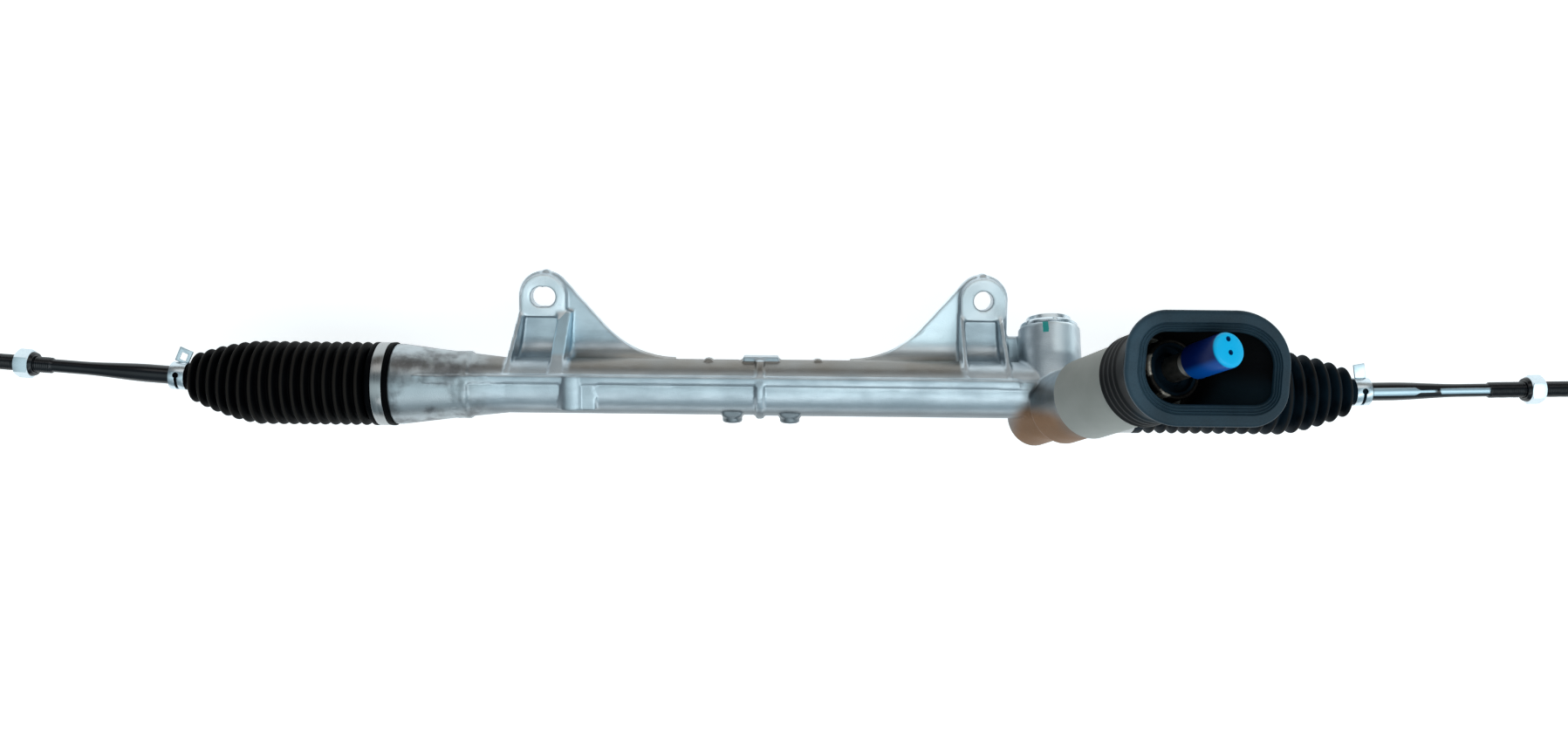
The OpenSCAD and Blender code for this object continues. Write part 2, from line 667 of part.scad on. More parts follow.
place() housing();
place() rack_bush();
place() rack_bar();
place() pinion_shaft();
place() needle_bearing();
place() pinion_end_cap();
place() bearing_outer_ring();
place() bearing_inner_ring();
place() bearing_balls();
place() bearing_circlip();
place() shaft_bush();
place() shaft_oil_seal();
place() column_sleeve();
place() floor_seal();
place() spline_cap();
place() support_yoke();
place() yoke_pad();
place() yoke_spring();
place() yoke_o_ring();
place() yoke_plug();
place() yoke_lock_nut();
place() socket_left();
place() socket_right();
place() socket_washer_left();
place() socket_washer_right();
place() ball_seat_left();
place() ball_seat_right();
place() tie_rod_left();
place() tie_rod_right();
place() jam_nut_left();
place() jam_nut_right();
place() bellows_left();
place() bellows_right();
place() band_clamp_left();
place() band_clamp_right();
place() spring_clamp_left();
place() spring_clamp_right();
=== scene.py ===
import json
import math

import bmesh
import bpy
import numpy as np
from mathutils import Matrix, Vector


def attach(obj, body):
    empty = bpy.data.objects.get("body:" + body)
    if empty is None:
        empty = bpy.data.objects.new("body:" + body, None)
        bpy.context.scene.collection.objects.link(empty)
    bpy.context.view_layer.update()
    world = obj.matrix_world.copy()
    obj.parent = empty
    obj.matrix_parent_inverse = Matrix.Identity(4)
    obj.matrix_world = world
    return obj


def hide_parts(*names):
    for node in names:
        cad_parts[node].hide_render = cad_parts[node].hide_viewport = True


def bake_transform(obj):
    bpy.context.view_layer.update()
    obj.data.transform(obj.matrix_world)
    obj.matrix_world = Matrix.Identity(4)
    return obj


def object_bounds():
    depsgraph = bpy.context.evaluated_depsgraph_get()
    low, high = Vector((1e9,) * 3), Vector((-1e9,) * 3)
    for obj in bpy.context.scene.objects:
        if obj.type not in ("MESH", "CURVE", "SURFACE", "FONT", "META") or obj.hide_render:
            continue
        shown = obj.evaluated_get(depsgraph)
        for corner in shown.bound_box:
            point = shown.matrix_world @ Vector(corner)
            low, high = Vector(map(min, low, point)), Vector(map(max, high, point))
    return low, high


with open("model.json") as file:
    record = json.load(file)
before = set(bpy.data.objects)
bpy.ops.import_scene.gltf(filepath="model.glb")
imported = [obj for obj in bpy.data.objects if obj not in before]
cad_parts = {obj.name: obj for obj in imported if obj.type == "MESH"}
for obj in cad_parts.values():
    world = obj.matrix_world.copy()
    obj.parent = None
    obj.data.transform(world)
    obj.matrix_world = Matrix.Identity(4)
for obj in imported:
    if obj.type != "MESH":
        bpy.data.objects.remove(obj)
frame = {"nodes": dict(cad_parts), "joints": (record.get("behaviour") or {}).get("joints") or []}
cad_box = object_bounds()

# Camera: the photograph looks square on to the rack from about a metre, tipped down
# 6.5 degrees and rolled half a degree. The gear's +Z side faces the viewer.
mm = 0.001
joint = {j["name"]: j for j in frame["joints"]}
ball_left = Vector(joint["seat_swing_left"]["pos_m"])
ball_right = Vector(joint["seat_swing_right"]["pos_m"])
photo_middle_off = 10 * mm
gear_middle = (ball_left + ball_right) / 2 + Vector((photo_middle_off, 0, 0))
eye_up, eye_back = 123.4 * mm, 992.4 * mm
tip_down, roll = math.radians(6.5), math.radians(0.6)
camera = bpy.data.objects.new("camera", bpy.data.cameras.new("camera"))
camera.data.lens, camera.data.sensor_width = 30.82, 36
camera.data.clip_start = 0.05
look = Vector((0, -math.sin(tip_down), -math.cos(tip_down)))
level = Vector((1, 0, 0))
upright = Vector((0, math.cos(tip_down), -math.sin(tip_down)))
rightwards = level * math.cos(roll) + upright * math.sin(roll)
above = upright * math.cos(roll) - level * math.sin(roll)
camera.matrix_world = Matrix.Translation(gear_middle + Vector((0, eye_up, eye_back))) @ Matrix(
    (rightwards, above, -look)).transposed().to_4x4()
bpy.context.scene.collection.objects.link(camera)
bpy.context.scene.camera = camera
bpy.context.scene.view_settings.view_transform = "Standard"


# Bench: a pale matt table top that keeps the gear's soft shadow, low enough to clear the
# tie rods when they swing. It is white to the camera and to mirrors, so that bright metal
# shows a pale surround.
class Signal:
    """An output socket that takes part in Python arithmetic and feeds further nodes."""

    def __init__(self, tree, link):
        self.tree, self.link = tree, link

    def node(self, kind, settings=None, sockets=None, out=0):
        """A new node of this kind, set, fed and read at one output."""
        made = self.tree.nodes.new(kind)
        for key, value in (settings or {}).items():
            setattr(made, key, value)
        for key, value in (sockets or {}).items():
            if isinstance(value, Signal):
                self.tree.links.new(value.link, made.inputs[key])
            else:
                made.inputs[key].default_value = value
        return Signal(self.tree, made.outputs[out])

    def maths(self, operation, *values):
        return self.node("ShaderNodeMath", {"operation": operation}, dict(enumerate(values)))

    def __add__(self, other): return self.maths("ADD", self, other)
    def __radd__(self, other): return self.maths("ADD", other, self)
    def __sub__(self, other): return self.maths("SUBTRACT", self, other)
    def __rsub__(self, other): return self.maths("SUBTRACT", other, self)
    def __mul__(self, other): return self.maths("MULTIPLY", self, other)
    def __rmul__(self, other): return self.maths("MULTIPLY", other, self)
    def __truediv__(self, other): return self.maths("DIVIDE", self, other)
    def __rtruediv__(self, other): return self.maths("DIVIDE", other, self)
    def __pow__(self, other): return self.maths("POWER", self, other)
    def __abs__(self): return self.maths("ABSOLUTE", self)

    def vector(self, operation, *values, out=0):
        return self.node("ShaderNodeVectorMath", {"operation": operation}, dict(enumerate(values)), out)

    def sin(self):
        return self.maths("SINE", self)

    def cos(self):
        return self.maths("COSINE", self)

    def most(self, other):
        return self.maths("MINIMUM", self, other)

    def least(self, other):
        return self.maths("MAXIMUM", self, other)

    def over(self, low, high):
        """0 below low, 1 above high, and smooth between; high may be the smaller."""
        return self.node("ShaderNodeMapRange", {"interpolation_type": "SMOOTHSTEP"},
                         {"Value": self, "From Min": low, "From Max": high})

    def past(self, low, high):
        """The same as over, with its limits in millimetres."""
        return self.over(low * mm, high * mm)

    def between(self, one, other):
        """The colour one where this is 0, and other where it is 1."""
        ends = {6: one, 7: other}
        return self.node("ShaderNodeMix", {"data_type": "RGBA"}, {0: self, **{
            k: c if isinstance(c, Signal) else (*c, 1) for k, c in ends.items()}}, out=2)

    def tinted(self, colour):
        return self.node("ShaderNodeMix", {"data_type": "RGBA", "blend_type": "MULTIPLY"},
                         {0: 1.0, 6: self, 7: (*colour, 1)}, out=2)

    def beyond(self, way, length):
        """This point, moved by a length along a way."""
        return self.vector("MULTIPLY_ADD", way, length, self)

    def fraction(self):
        return self.maths("FRACT", self)


class Finish:
    """A material: one Principled shader with what varies on it worked out from the piece's place."""

    def __init__(self, name, **constants):
        self.material = bpy.data.materials.new(name)
        self.material.use_nodes = True
        self.tree = self.material.node_tree
        self.shader = self.tree.nodes["Principled BSDF"]
        for key, value in constants.items():
            socket = self.shader.inputs[key.replace("_", " ")]
            socket.default_value = (*value, 1) if key == "Base_Color" else value
        self.start = Signal(self.tree, self.shader.outputs[0])
        self.place = self.start.node("ShaderNodeTexCoord", out="Object")
        self.x, self.y, self.z = (
            self.start.node("ShaderNodeSeparateXYZ", None, {0: self.place}, out=i) for i in range(3))

    def noise(self, per_metre, detail=3.0, stretch=None):
        """Cloudy values about 0.5, this many to the metre."""
        place = self.place
        if stretch:
            place = place.vector("MULTIPLY", place, stretch)
        return self.start.node("ShaderNodeTexNoise", None,
                               {"Vector": place, "Scale": per_metre, "Detail": detail})

    def along(self, foot, way):
        """How far each place lies from this foot along a way."""
        reach = self.place.vector("SUBTRACT", self.place, tuple(foot))
        return reach.vector("DOT_PRODUCT", reach, tuple(way), out=1)

    def feed(self, **signals):
        for key, signal in signals.items():
            self.tree.links.new(signal.link, self.shader.inputs[key.replace("_", " ")])
        return self

    def relief(self, height, depth):
        """Bump of this depth in metres where height goes from 0 to 1."""
        bump = self.start.node("ShaderNodeBump", None,
                               {"Strength": 1.0, "Distance": depth, "Height": height}, out=0)
        return self.feed(Normal=bump)


bench = bpy.data.meshes.new("bench")
bench_half, bench_drop = 60.0, 46 * mm
bench_z = cad_box[0].z - bench_drop
bench.from_pydata([(x * bench_half, y * bench_half, bench_z)
                   for x, y in ((-1, -1), (1, -1), (1, 1), (-1, 1))], [], [(0, 1, 2, 3)])
bench_top = bpy.data.objects.new("bench", bench)
bpy.context.scene.collection.objects.link(bench_top)
bench_finish = Finish("bench_white", Base_Color=(0.9, 0.9, 0.9), Roughness=0.9, Specular_IOR_Level=0.2)
seen = bench_finish.start.node("ShaderNodeLightPath", out="Is Camera Ray")
mirrored = bench_finish.start.node("ShaderNodeLightPath", out="Is Glossy Ray")
through = bench_finish.start.node("ShaderNodeLightPath", out="Is Transmission Ray")
white = (seen + mirrored + through).most(1.0)
bench_finish.shader.inputs["Emission Strength"].default_value = 0.62
bench_finish.feed(Emission_Color=white.between((0, 0, 0), (1, 1, 1)))
bench.materials.append(bench_finish.material)

# Lamps: two wide soft boxes over the bench and a plain room. It is pale where the viewer
# stands, brown above like a roof, and darker at the left than at the right. At the far
# right a dark pillar stands in front of it.
world = bpy.data.worlds.new("room")
world.use_nodes = True
bpy.context.scene.world = world
room = Signal(world.node_tree, world.node_tree.nodes["Background"].outputs[0])
way = room.node("ShaderNodeTexCoord", out="Generated")
aside, across = (room.node("ShaderNodeSeparateXYZ", None, {0: way}, out=i) for i in (0, 1))
near_edge = across.over(-0.99, -0.93).between((0.12, 0.12, 0.12), (0.38, 0.50, 0.56))
viewer = across.over(-0.70, -0.20).between(near_edge, (1.18, 1.44, 1.52))
far_wall = across.over(0.02, 0.32).between(viewer, (0.24, 0.31, 0.35))
roof = across.over(0.5, 0.82).between(far_wall, (0.26, 0.24, 0.22))
left_half = aside.over(0.24, -0.12).between(roof, roof.tinted((0.68, 0.68, 0.68)))
left_wall = aside.over(-0.45, -0.85).between(left_half, (0.10, 0.12, 0.14))
pillar = aside.over(0.74, 0.80) * aside.over(0.97, 0.93)
shaded = pillar.between(left_wall, left_wall.tinted((0.35, 0.38, 0.40)))
world.node_tree.links.new(shaded.link, world.node_tree.nodes["Background"].inputs["Color"])


def soft_box(name, place, aim, width, depth, watts, colour):
    lamp = bpy.data.lights.new(name, "AREA")
    lamp.shape, lamp.size, lamp.size_y = "RECTANGLE", width, depth
    lamp.energy, lamp.color = watts, colour
    holder = bpy.data.objects.new(name, lamp)
    holder.location = place
    holder.rotation_mode = "QUATERNION"
    holder.rotation_quaternion = (Vector(aim) - Vector(place)).to_track_quat("-Z", "Y")
    bpy.context.scene.collection.objects.link(holder)


soft_box("back_box", (-0.1, 1.05, 1.0), gear_middle, 2.4, 0.6, 4, (1.0, 0.99, 0.97))
soft_box("front_box", (0.25, -0.75, 1.35), gear_middle, 2.6, 0.4, 4.5, (0.97, 0.99, 1.0))

# Housing: one pressure die casting in aluminium, as cast and tumbled, with the seats for
# the bolts machined. Its edges and inside corners carry the radii of the die.
ball_left_station, ball_right_station = 387, 367
rack_middle = ball_left + Vector((ball_left_station * mm, 0, 0))
along_rack, up, out = Vector((1, 0, 0)), Vector((0, 1, 0)), Vector((0, 0, 1))
to_shaft = Vector(joint["pinion_turn"]["axis"]).normalized()
mesh_point = Vector(joint["pinion_turn"]["pos_m"])
lean = math.radians(20)
yoke_way = Vector((0, math.cos(lean), -math.sin(lean)))
yoke_foot = Vector((mesh_point.x, rack_middle.y, rack_middle.z))
slotted_ear = Vector((-331.5 * mm, 0, 0))


def offset(x, y=0.0, z=0.0):
    """A vector given in millimetres."""
    return Vector((x, y, z)) * mm


def on_rack(x, y=0.0, z=0.0):
    """A point given in millimetres from the middle of the rack."""
    return rack_middle + offset(x, y, z)


def made(name, mesh):
    piece = bpy.data.objects.new(name, mesh)
    bpy.context.scene.collection.objects.link(piece)
    return piece


def worked(name, work):
    """A piece of the mesh that was worked on."""
    piece = made(name, bpy.data.meshes.new(name))
    work.to_mesh(piece.data)
    work.free()
    return piece


def settled(piece):
    """The piece with its modifiers worked into a plain mesh."""
    graph = bpy.context.evaluated_depsgraph_get()
    mesh = bpy.data.meshes.new_from_object(piece.evaluated_get(graph))
    piece.modifiers.clear()
    piece.data = mesh
    mesh.name = piece.name
    return piece


def copy_of(node, name):
    """A copy of a part's mesh with its loose triangles joined up."""
    piece = made(name, frame["nodes"][node].data.copy())
    work = bmesh.new()
    work.from_mesh(piece.data)
    bmesh.ops.remove_doubles(work, verts=work.verts, dist=0.002 * mm)
    work.to_mesh(piece.data)
    work.free()
    if "custom_normal" in piece.data.attributes:
        piece.data.attributes.remove(piece.data.attributes["custom_normal"])
    return piece


def dress(piece, finish, body=None, replaced=()):
    """Gives a finished piece its material, its body and the nodes that it stands for."""
    piece.data.materials.clear()
    piece.data.materials.append(finish.material)
    for polygon in piece.data.polygons:
        polygon.material_index = 0
    if body:
        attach(piece, body)
    if replaced:
        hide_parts(*replaced)
    return piece


def trued(mesh, centre, axis, outline, slack=0.5 * mm):
    """Brings the skin near a turned surface on to it; outline is (station, radius) pairs in mm."""
    spots, facing = np.empty(len(mesh.vertices) * 3), np.empty(len(mesh.vertices) * 3)
    mesh.vertices.foreach_get("co", spots)
    mesh.vertex_normals.foreach_get("vector", facing)
    spots, facing = spots.reshape(-1, 3), facing.reshape(-1, 3)
    stations, radii = np.array(outline).T * mm
    reach = spots - np.array(centre)
    station = reach @ np.array(axis)
    reach -= np.outer(station, np.array(axis))
    length = np.maximum(np.linalg.norm(reach, axis=1), 1e-9)
    reach /= length[:, None]
    wanted = np.interp(station, stations, radii)
    near = (station > stations[0]) & (station < stations[-1]) & (np.abs(length - wanted) < slack)
    near &= np.abs((reach * facing).sum(1)) > 0.88
    spots[near] += reach[near] * (wanted - length)[near, None]
    mesh.vertices.foreach_set("co", spots.ravel())
    mesh.update()


def cut_out(piece, tool):
    """Takes the tool's shape out of a piece."""
    cut = piece.modifiers.new("cut", "BOOLEAN")
    cut.operation, cut.solver, cut.object = "DIFFERENCE", "EXACT", tool
    settled(piece)
    bpy.data.objects.remove(tool)
    return piece


def block(name, low, high):
    """A box between two corners."""
    work = bmesh.new()
    bmesh.ops.create_cube(work, size=1)
    for v in work.verts:
        v.co = Vector([(a + b) / 2 + c * (b - a) for a, b, c in zip(low, high, v.co)])
    return worked(name, work)


def slab(outline, plane, low, high, turn=None):
    """A prism; outline holds its corners in mm in two directions, and it runs from low to high."""
    work = bmesh.new()
    ends = [[work.verts.new(on_rack(*(reach if k == plane else pair[k - (k > plane)] for k in range(3))))
             for pair in outline] for reach in (low, high)]
    for k in range(len(outline)):
        work.faces.new((ends[0][k], ends[0][k - 1], ends[1][k - 1], ends[1][k]))
    for side in ends:
        work.faces.new(side)
    if turn:
        bmesh.ops.rotate(work, verts=work.verts, cent=turn[0], matrix=Matrix.Rotation(turn[1], 3, "Z"))
    bmesh.ops.recalc_face_normals(work, faces=work.faces)
    return worked("slab", work)


def turned(name, foot, axis, outline, sides=112):
    """A body of revolution; outline is its closed section as (radius, station) pairs in mm."""
    axis = Vector(axis).normalized()
    side = axis.orthogonal().normalized()
    other = axis.cross(side)
    work = bmesh.new()
    angles = [k * 2 * math.pi / sides for k in range(sides)]
    rings = [[work.verts.new(foot + (axis * s + (side * math.cos(a) + other * math.sin(a)) * r) * mm)
              for a in angles] for r, s in outline]
    for near, far in zip(rings, rings[1:] + rings[:1]):
        for k in range(sides):
            work.faces.new((near[k], near[k - 1], far[k - 1], far[k]))
    bmesh.ops.remove_doubles(work, verts=work.verts, dist=0.001 * mm)
    bmesh.ops.recalc_face_normals(work, faces=work.faces)
    return worked(name, work)


def ring_section(inner, outer, low, high):
    """The section of a plain ring, or of a pin where inner is 0."""
    return [(inner, low), (outer, low), (outer, high), (inner, high)]


def grouped(piece, *others):
    """Adds the meshes of other pieces to a piece."""
    work = bmesh.new()
    for each in (piece, *others):
        work.from_mesh(each.data)
    work.to_mesh(piece.data)
    work.free()
    for each in others:
        bpy.data.objects.remove(each)
    return piece


casting = copy_of("housing", "housing_casting")
# The bolt pads end in a straight edge below the hole, between their ribs
ear_front, pad_step, pad_edge = 15.5, 8.05, -15
for ear, left, right in ((Vector(), -12.5, 10.5), (slotted_ear, -13, 14)):
    cut_out(casting, block("pad_trim", ear + offset(left, pad_edge - 4, pad_step),
                           ear + offset(right, pad_edge, ear_front + 1.5)))
# The two lugs under the tube are short upright studs, cut free at the front
lug_r, lug_places = 7.3, (-38, 4.6)
lug_outline = [(0, 0), (lug_r, 0), (lug_r, 12.7), (lug_r - 1, 13.7), (0, 13.7)]
for x in lug_places:
    cut_out(casting, block("lug_front", on_rack(x - 8, -28, 4), on_rack(x + 8, -20.9, 14)))
lug_studs = [turned("lug", on_rack(x, -12, 4), -up, lug_outline, 48) for x in lug_places]
# The parting rib climbs the cone, which carries a land and a bead
cone_rib = slab([(-273, 20), (-273, 27), (-258, 27.7), (-245, 26.1), (-232, 24.4), (-222, 23.0),
                 (-212, 22.2), (-205, 22.2), (-205, 20)], 1, 4.4, 10)
cone_land = turned("cone_land", rack_middle, along_rack, [
    (21, -248), (25.6, -248), (24.9, -236.2), (25.3, -235.2), (25.1, -231.6), (21, -231.6)])
# The inner rib of the slotted ear is three times as wide as the others
slotted_x = -182
rib_left, rib_right = slotted_x + 11.5, slotted_x + 20.5
broad_rib = slab([(54.2, -16.5), (54.2, -28.5), (4, -28.5), (4, 20.4), (9, 20.4)],
                 0, rib_left, rib_right, (on_rack(rib_right - 1, 52), math.radians(-3)))
# Each ear has the stub of an ejector at its top
ear_stubs = [turned("ejector_stub", ear + offset(off, 17, 0), out,
                    ring_section(0, 3.6, 1, 10), 32) for ear, off in ((slotted_ear, 1.5), (Vector(), 0))]
grouped(casting, cone_rib, cone_land, broad_rib, *lug_studs, *ear_stubs)
# A fine remesh gives every edge and corner the die's radius; tumbling softens them a little
die_voxel, tumble_passes, kept_share = 1.15 * mm, 3, 0.46
remesh = casting.modifiers.new("die_radii", "REMESH")
remesh.mode, remesh.voxel_size = "VOXEL", die_voxel
remesh.use_smooth_shade = True
tumble = casting.modifiers.new("tumbled", "SMOOTH")
tumble.factor, tumble.iterations = 0.5, tumble_passes
thin = casting.modifiers.new("thinned", "DECIMATE")
thin.ratio = kept_share
settled(casting)
# The turned and cored surfaces are then brought back to their true radii
hole_r, slot_r, slot_reach, ear_r, pad_r = 7.25, 7.5, 2, 19.5, 17
turned_surfaces = [
    # The cone and the tube left of the collar, the tube right of it, the collar, the webs' fillet
    (on_rack(0), along_rack, [(-283, 29.9), (-258, 26.7), (-232, 23.6), (-214, 21.6), (-204, 20.5),
                              (-21.5, 20.5)]),
    (on_rack(0), along_rack, [(-13.5, 21), (239, 21)]),
    (on_rack(0), along_rack, [(-19.6, 23.3), (-15.9, 23.3)]),
    (on_rack(0, 35, -7.5), along_rack, [(-170, 16), (140, 16)]),
    # The pinion tower from its foot to its top, and the yoke tower
    (mesh_point, to_shaft, [(-28, 21), (7, 21)]),
    (mesh_point, to_shaft, [(14, 26.5), (45, 26.5)]),
    (mesh_point, to_shaft, [(49, 24), (109, 24)]),
    (mesh_point, to_shaft, [(115, 20.5), (144, 20.5)]),
    (yoke_foot, yoke_way, [(0, 23.6), (46, 22.93)]),
    # The half-round boss, the lugs, the two round stubs on the tube, and the round ear's hole
    (on_rack(-155.5, 0, 13), up, [(-15, 11.2), (9, 11.2)]),
    *((on_rack(x, 0, 4), -up, [(20.8, lug_r), (24.2, lug_r)]) for x in lug_places),
    *((on_rack(x, 17.5), out, [(-4, 4.5), (6, 4.5)]) for x in (-56, 25)),
    (Vector(), out, [(0.8, hole_r), (14.7, hole_r)]),
]
for ear in (Vector(), slotted_ear):
    turned_surfaces += [(ear, out, [(0.8, ear_r), (7.2, ear_r)]), (ear, out, [(9, pad_r), (14.8, pad_r)])]
for end in (-slot_reach, slot_reach):
    turned_surfaces.append((slotted_ear + offset(end), out, [(0.8, slot_r), (14.7, slot_r)]))
for centre, axis, outline in turned_surfaces:
    trued(casting.data, centre, axis, outline)

cast = Finish("cast_aluminium", Metallic=1.0)
grain = cast.noise(1400, 2.0)
cloud = cast.noise(38, 4.0)
flow = cast.noise(90, 3.0, (0.35, 1.0, 1.0))
tone = (cloud * 0.5 + flow * 0.5).over(0.33, 0.68)
skin = tone.between((0.42, 0.48, 0.52), (0.59, 0.655, 0.695))
height = cast.y - rack_middle.y
depth = cast.z - rack_middle.z
past_mesh = cast.x - mesh_point.x
past_slotted = cast.x - slotted_ear.x
station = cast.along(mesh_point, to_shaft)
yoke_station = cast.along(yoke_foot, yoke_way)
# The casting's flanks are painted darker as painted shade and reflection, the upper one browner
left_of_round = cast.x.past(-17, -21)
off_ears = abs(past_slotted).past(22, 26) * left_of_round * height.past(28, 21)
off_pad = 1.0 - abs(cast.x - on_rack(-17).x).past(14, 13) * height.past(20.2, 20.8)
painted_shade_upper_flank = height.past(9, 16) * off_ears * off_pad
painted_shade_lower_flank = height.past(-12.5, -17)
skin = (painted_shade_upper_flank * (0.68 + cloud * 0.5)).most(1.0).between(skin, (0.215, 0.20, 0.18))
skin = (painted_shade_lower_flank * (0.65 + cloud * 0.4)).most(1.0).between(skin, (0.15, 0.165, 0.175))
# The cone at the left end is mottled darker by the die's release agent
cone_end = cast.x.over(on_rack(-206).x, on_rack(-236).x)
mottle = (cast.noise(55, 4.0, (1.0, 0.6, 1.0)) * 0.7 + flow * 0.3).over(0.40, 0.58)
skin = (cone_end * 0.85).between(skin, mottle.between((0.15, 0.155, 0.16), (0.44, 0.48, 0.50)))
# The web left of the round ear and a streak down the yoke tower are painted near white as painted
# highlights, and the front of the broad rib is painted lighter and bluish as a painted reflection
painted_web_highlight = cast.x.past(-78, -52) * left_of_round * height.past(22, 32)
painted_streak_highlight = abs(past_mesh - 7 * mm + (cloud - 0.5) * 8 * mm).past(11, 4) * yoke_station.past(22, 27)
skin = (painted_web_highlight + painted_streak_highlight).most(1.0).between(skin, (0.84, 0.93, 0.97))
painted_rib_reflection = (abs(cast.x - on_rack((rib_left + rib_right) / 2).x).past(8, 5)
            * height.past(22, 26) * height.past(54, 52))
skin = painted_rib_reflection.between(skin, (0.50, 0.68, 0.78))
# The lower lobes of the pinion housing are browner and rougher, and above that painted darker as painted
# shade
painted_shade_over_lobes = station.past(56, 42) * past_mesh.past(-28, -14) * height.past(14, 4)
skin = (painted_shade_over_lobes * (0.6 + cloud * 0.5)).most(1.0).between(skin, (0.095, 0.09, 0.085))
brown_lobes = station.past(60, 30) * height.past(-4, -15) * past_mesh.past(-34, -20) * depth.past(-24, -8)
skin = (brown_lobes * (0.75 + cloud * 0.35)).most(1.0).between(skin, (0.235, 0.13, 0.07))
# Inside the floor seal the top of the tower is rougher and painted dark as painted shade, and two
# tan spots on its rim are painted highlights
painted_shade_in_seal = station.past(104, 108)
skin = painted_shade_in_seal.between(skin, (0.03, 0.025, 0.022))
uphill = (up - to_shaft * up.dot(to_shaft)).normalized()
leftward = to_shaft.cross(uphill)
on_rim = [cast.along(mesh_point, w) for w in (leftward, uphill)]
tan_highlight_spots = ((16, 3, 8.0), (10, -15, 5.0))
tan_highlight_paint = sum((((on_rim[0] - a * mm) ** 2 + (on_rim[1] - b * mm) ** 2) ** 0.5
             + (cast.noise(320, 3.0) - 0.5) * 9 * mm).past(r, r - 2)
            for a, b, r in tan_highlight_spots) * station.past(134, 138)
skin = tan_highlight_paint.most(1.0).between(skin, (0.62, 0.54, 0.46))
# The faces that the bolts bear on are machined, with the rings of the cutter
seat_r, cutter_pitch = 21, 0.55
from_hole = ((cast.x ** 2 + cast.y ** 2) ** 0.5).most((past_slotted ** 2 + cast.y ** 2) ** 0.5)
machined = from_hole.past(seat_r, seat_r - 0.5) * cast.z.past(ear_front - 0.7, ear_front - 0.3)
turning = (from_hole * (2 * math.pi / (cutter_pitch * mm))).sin() * 0.5 + 0.5
skin = machined.between(skin, (0.84, 0.90, 0.93))
# A dab of teal paint on the rim of the yoke tower marks it as adjusted
dab_aside = abs(past_mesh + 6.5 * mm) + (cast.noise(500, 2.0) - 0.5) * 1.6 * mm
dab = dab_aside.past(2.1, 1.75) * depth.past(0, 4) * yoke_station.past(39, 39.5)
skin = dab.between(skin, (0.01, 0.36, 0.33))
cast.feed(Base_Color=skin, Metallic=1.0 - dab,
          Roughness=(0.40 - tone * 0.10 - machined * 0.06 + grain * 0.06 + brown_lobes * 0.18
                     + painted_shade_in_seal * 0.2 + dab * 0.1))
cast.relief(grain * 0.55 + flow * 0.45 + machined * turning * 0.2, 0.3 * mm)
dress(casting, cast, "housing", ["housing"])


# Inner works: rack, pinion, bearings, bush, yoke and ball sockets, ground or turned from
# steel, bronze and acetal. They stay as the solids are and only take their finishes.
def grained(name, noise, tones, roughness, depth=None, **constants):
    """A finish with one grain that sets its colour, its roughness (least, swing) and its relief."""
    finish = Finish(name, **constants)
    grain = finish.noise(*noise)
    finish.feed(Base_Color=grain.between(*tones), Roughness=roughness[0] + grain * roughness[1])
    return finish.relief(grain, depth) if depth else finish


steel = grained("ground_steel", (600, 3.0, (0.06, 1.0, 1.0)), (
    (0.5, 0.51, 0.53), (0.62, 0.63, 0.65)), (0.22, 0.2), 0.01 * mm, Metallic=1.0)
forged = grained("oiled_forging", (300, 4.0), (
    (0.13, 0.12, 0.11), (0.27, 0.25, 0.23)), (0.36, 0.3), 0.03 * mm, Metallic=1.0)
bronze = grained("sintered_bronze", (2500, 2.0), (
    (0.42, 0.3, 0.17), (0.68, 0.52, 0.33)), (0.35, 0.25), 0.02 * mm, Metallic=1.0)
acetal = grained("white_acetal", (700, 2.0), (
    (0.8, 0.78, 0.71), (0.88, 0.86, 0.8)), (0.34, 0.12), Subsurface_Weight=0.1)
rubber = Finish("black_rubber", Specular_IOR_Level=0.025)
dust = rubber.noise(45, 4.0)
# The bellows at the right has a bluish bloom. The folds' crests are marked on the mesh, so
# that the brownish highlight painted on them stays on them as they stretch
at_right = rubber.x.over(rack_middle.x - 1 * mm, rack_middle.x + 1 * mm)
crest_highlight_paint = rubber.start.node("ShaderNodeAttribute", {"attribute_name": "crest"}, out=2)
plain = dust.over(0.35, 0.75).between((0.0008, 0.0009, 0.0013), (0.002, 0.0022, 0.0028))
bloomed = (at_right * dust.over(0.2, 0.6)).between(plain, (0.007, 0.016, 0.025))
rubber.feed(Base_Color=(crest_highlight_paint * 0.7).between(bloomed, (0.024, 0.020, 0.017)),
            Roughness=0.34 + dust * 0.2)
rubber.relief(rubber.noise(1500, 2.0), 0.03 * mm)
inner_works = {
    steel: ["rack_bar", "bearing_outer_ring", "bearing_inner_ring", "bearing_balls", "needle_bearing",
            "yoke_spring", "bearing_circlip", "support_yoke"],
    forged: ["pinion_shaft", "socket_left", "socket_right", "socket_washer_left",
             "socket_washer_right", "pinion_end_cap"],
    bronze: ["shaft_bush"],
    acetal: ["rack_bush", "yoke_pad", "ball_seat_left", "ball_seat_right"],
    rubber: ["shaft_oil_seal", "yoke_o_ring"],
}
for finish, names in inner_works.items():
    for name in names:
        frame["nodes"][name].data.materials.clear()
        frame["nodes"][name].data.materials.append(finish.material)


# Yoke plug and lock nut: turned steel, blue-white zinc plated. The plug has a hexagon
# socket and is screwed down until the yoke has its play; the thin nut locks it.
def eased(piece, width, steps=3, corner=28):
    """Breaks the sharp edges of a piece by this width in mm, and shades it smooth between them."""
    edge = piece.modifiers.new("eased", "BEVEL")
    edge.width, edge.segments = width * mm, steps
    edge.limit_method, edge.angle_limit = "ANGLE", math.radians(corner)
    edge.harden_normals = False
    settled(piece)
    piece.data.shade_smooth()
    piece.data.set_sharp_from_angle(angle=math.radians(corner + 12))
    return piece


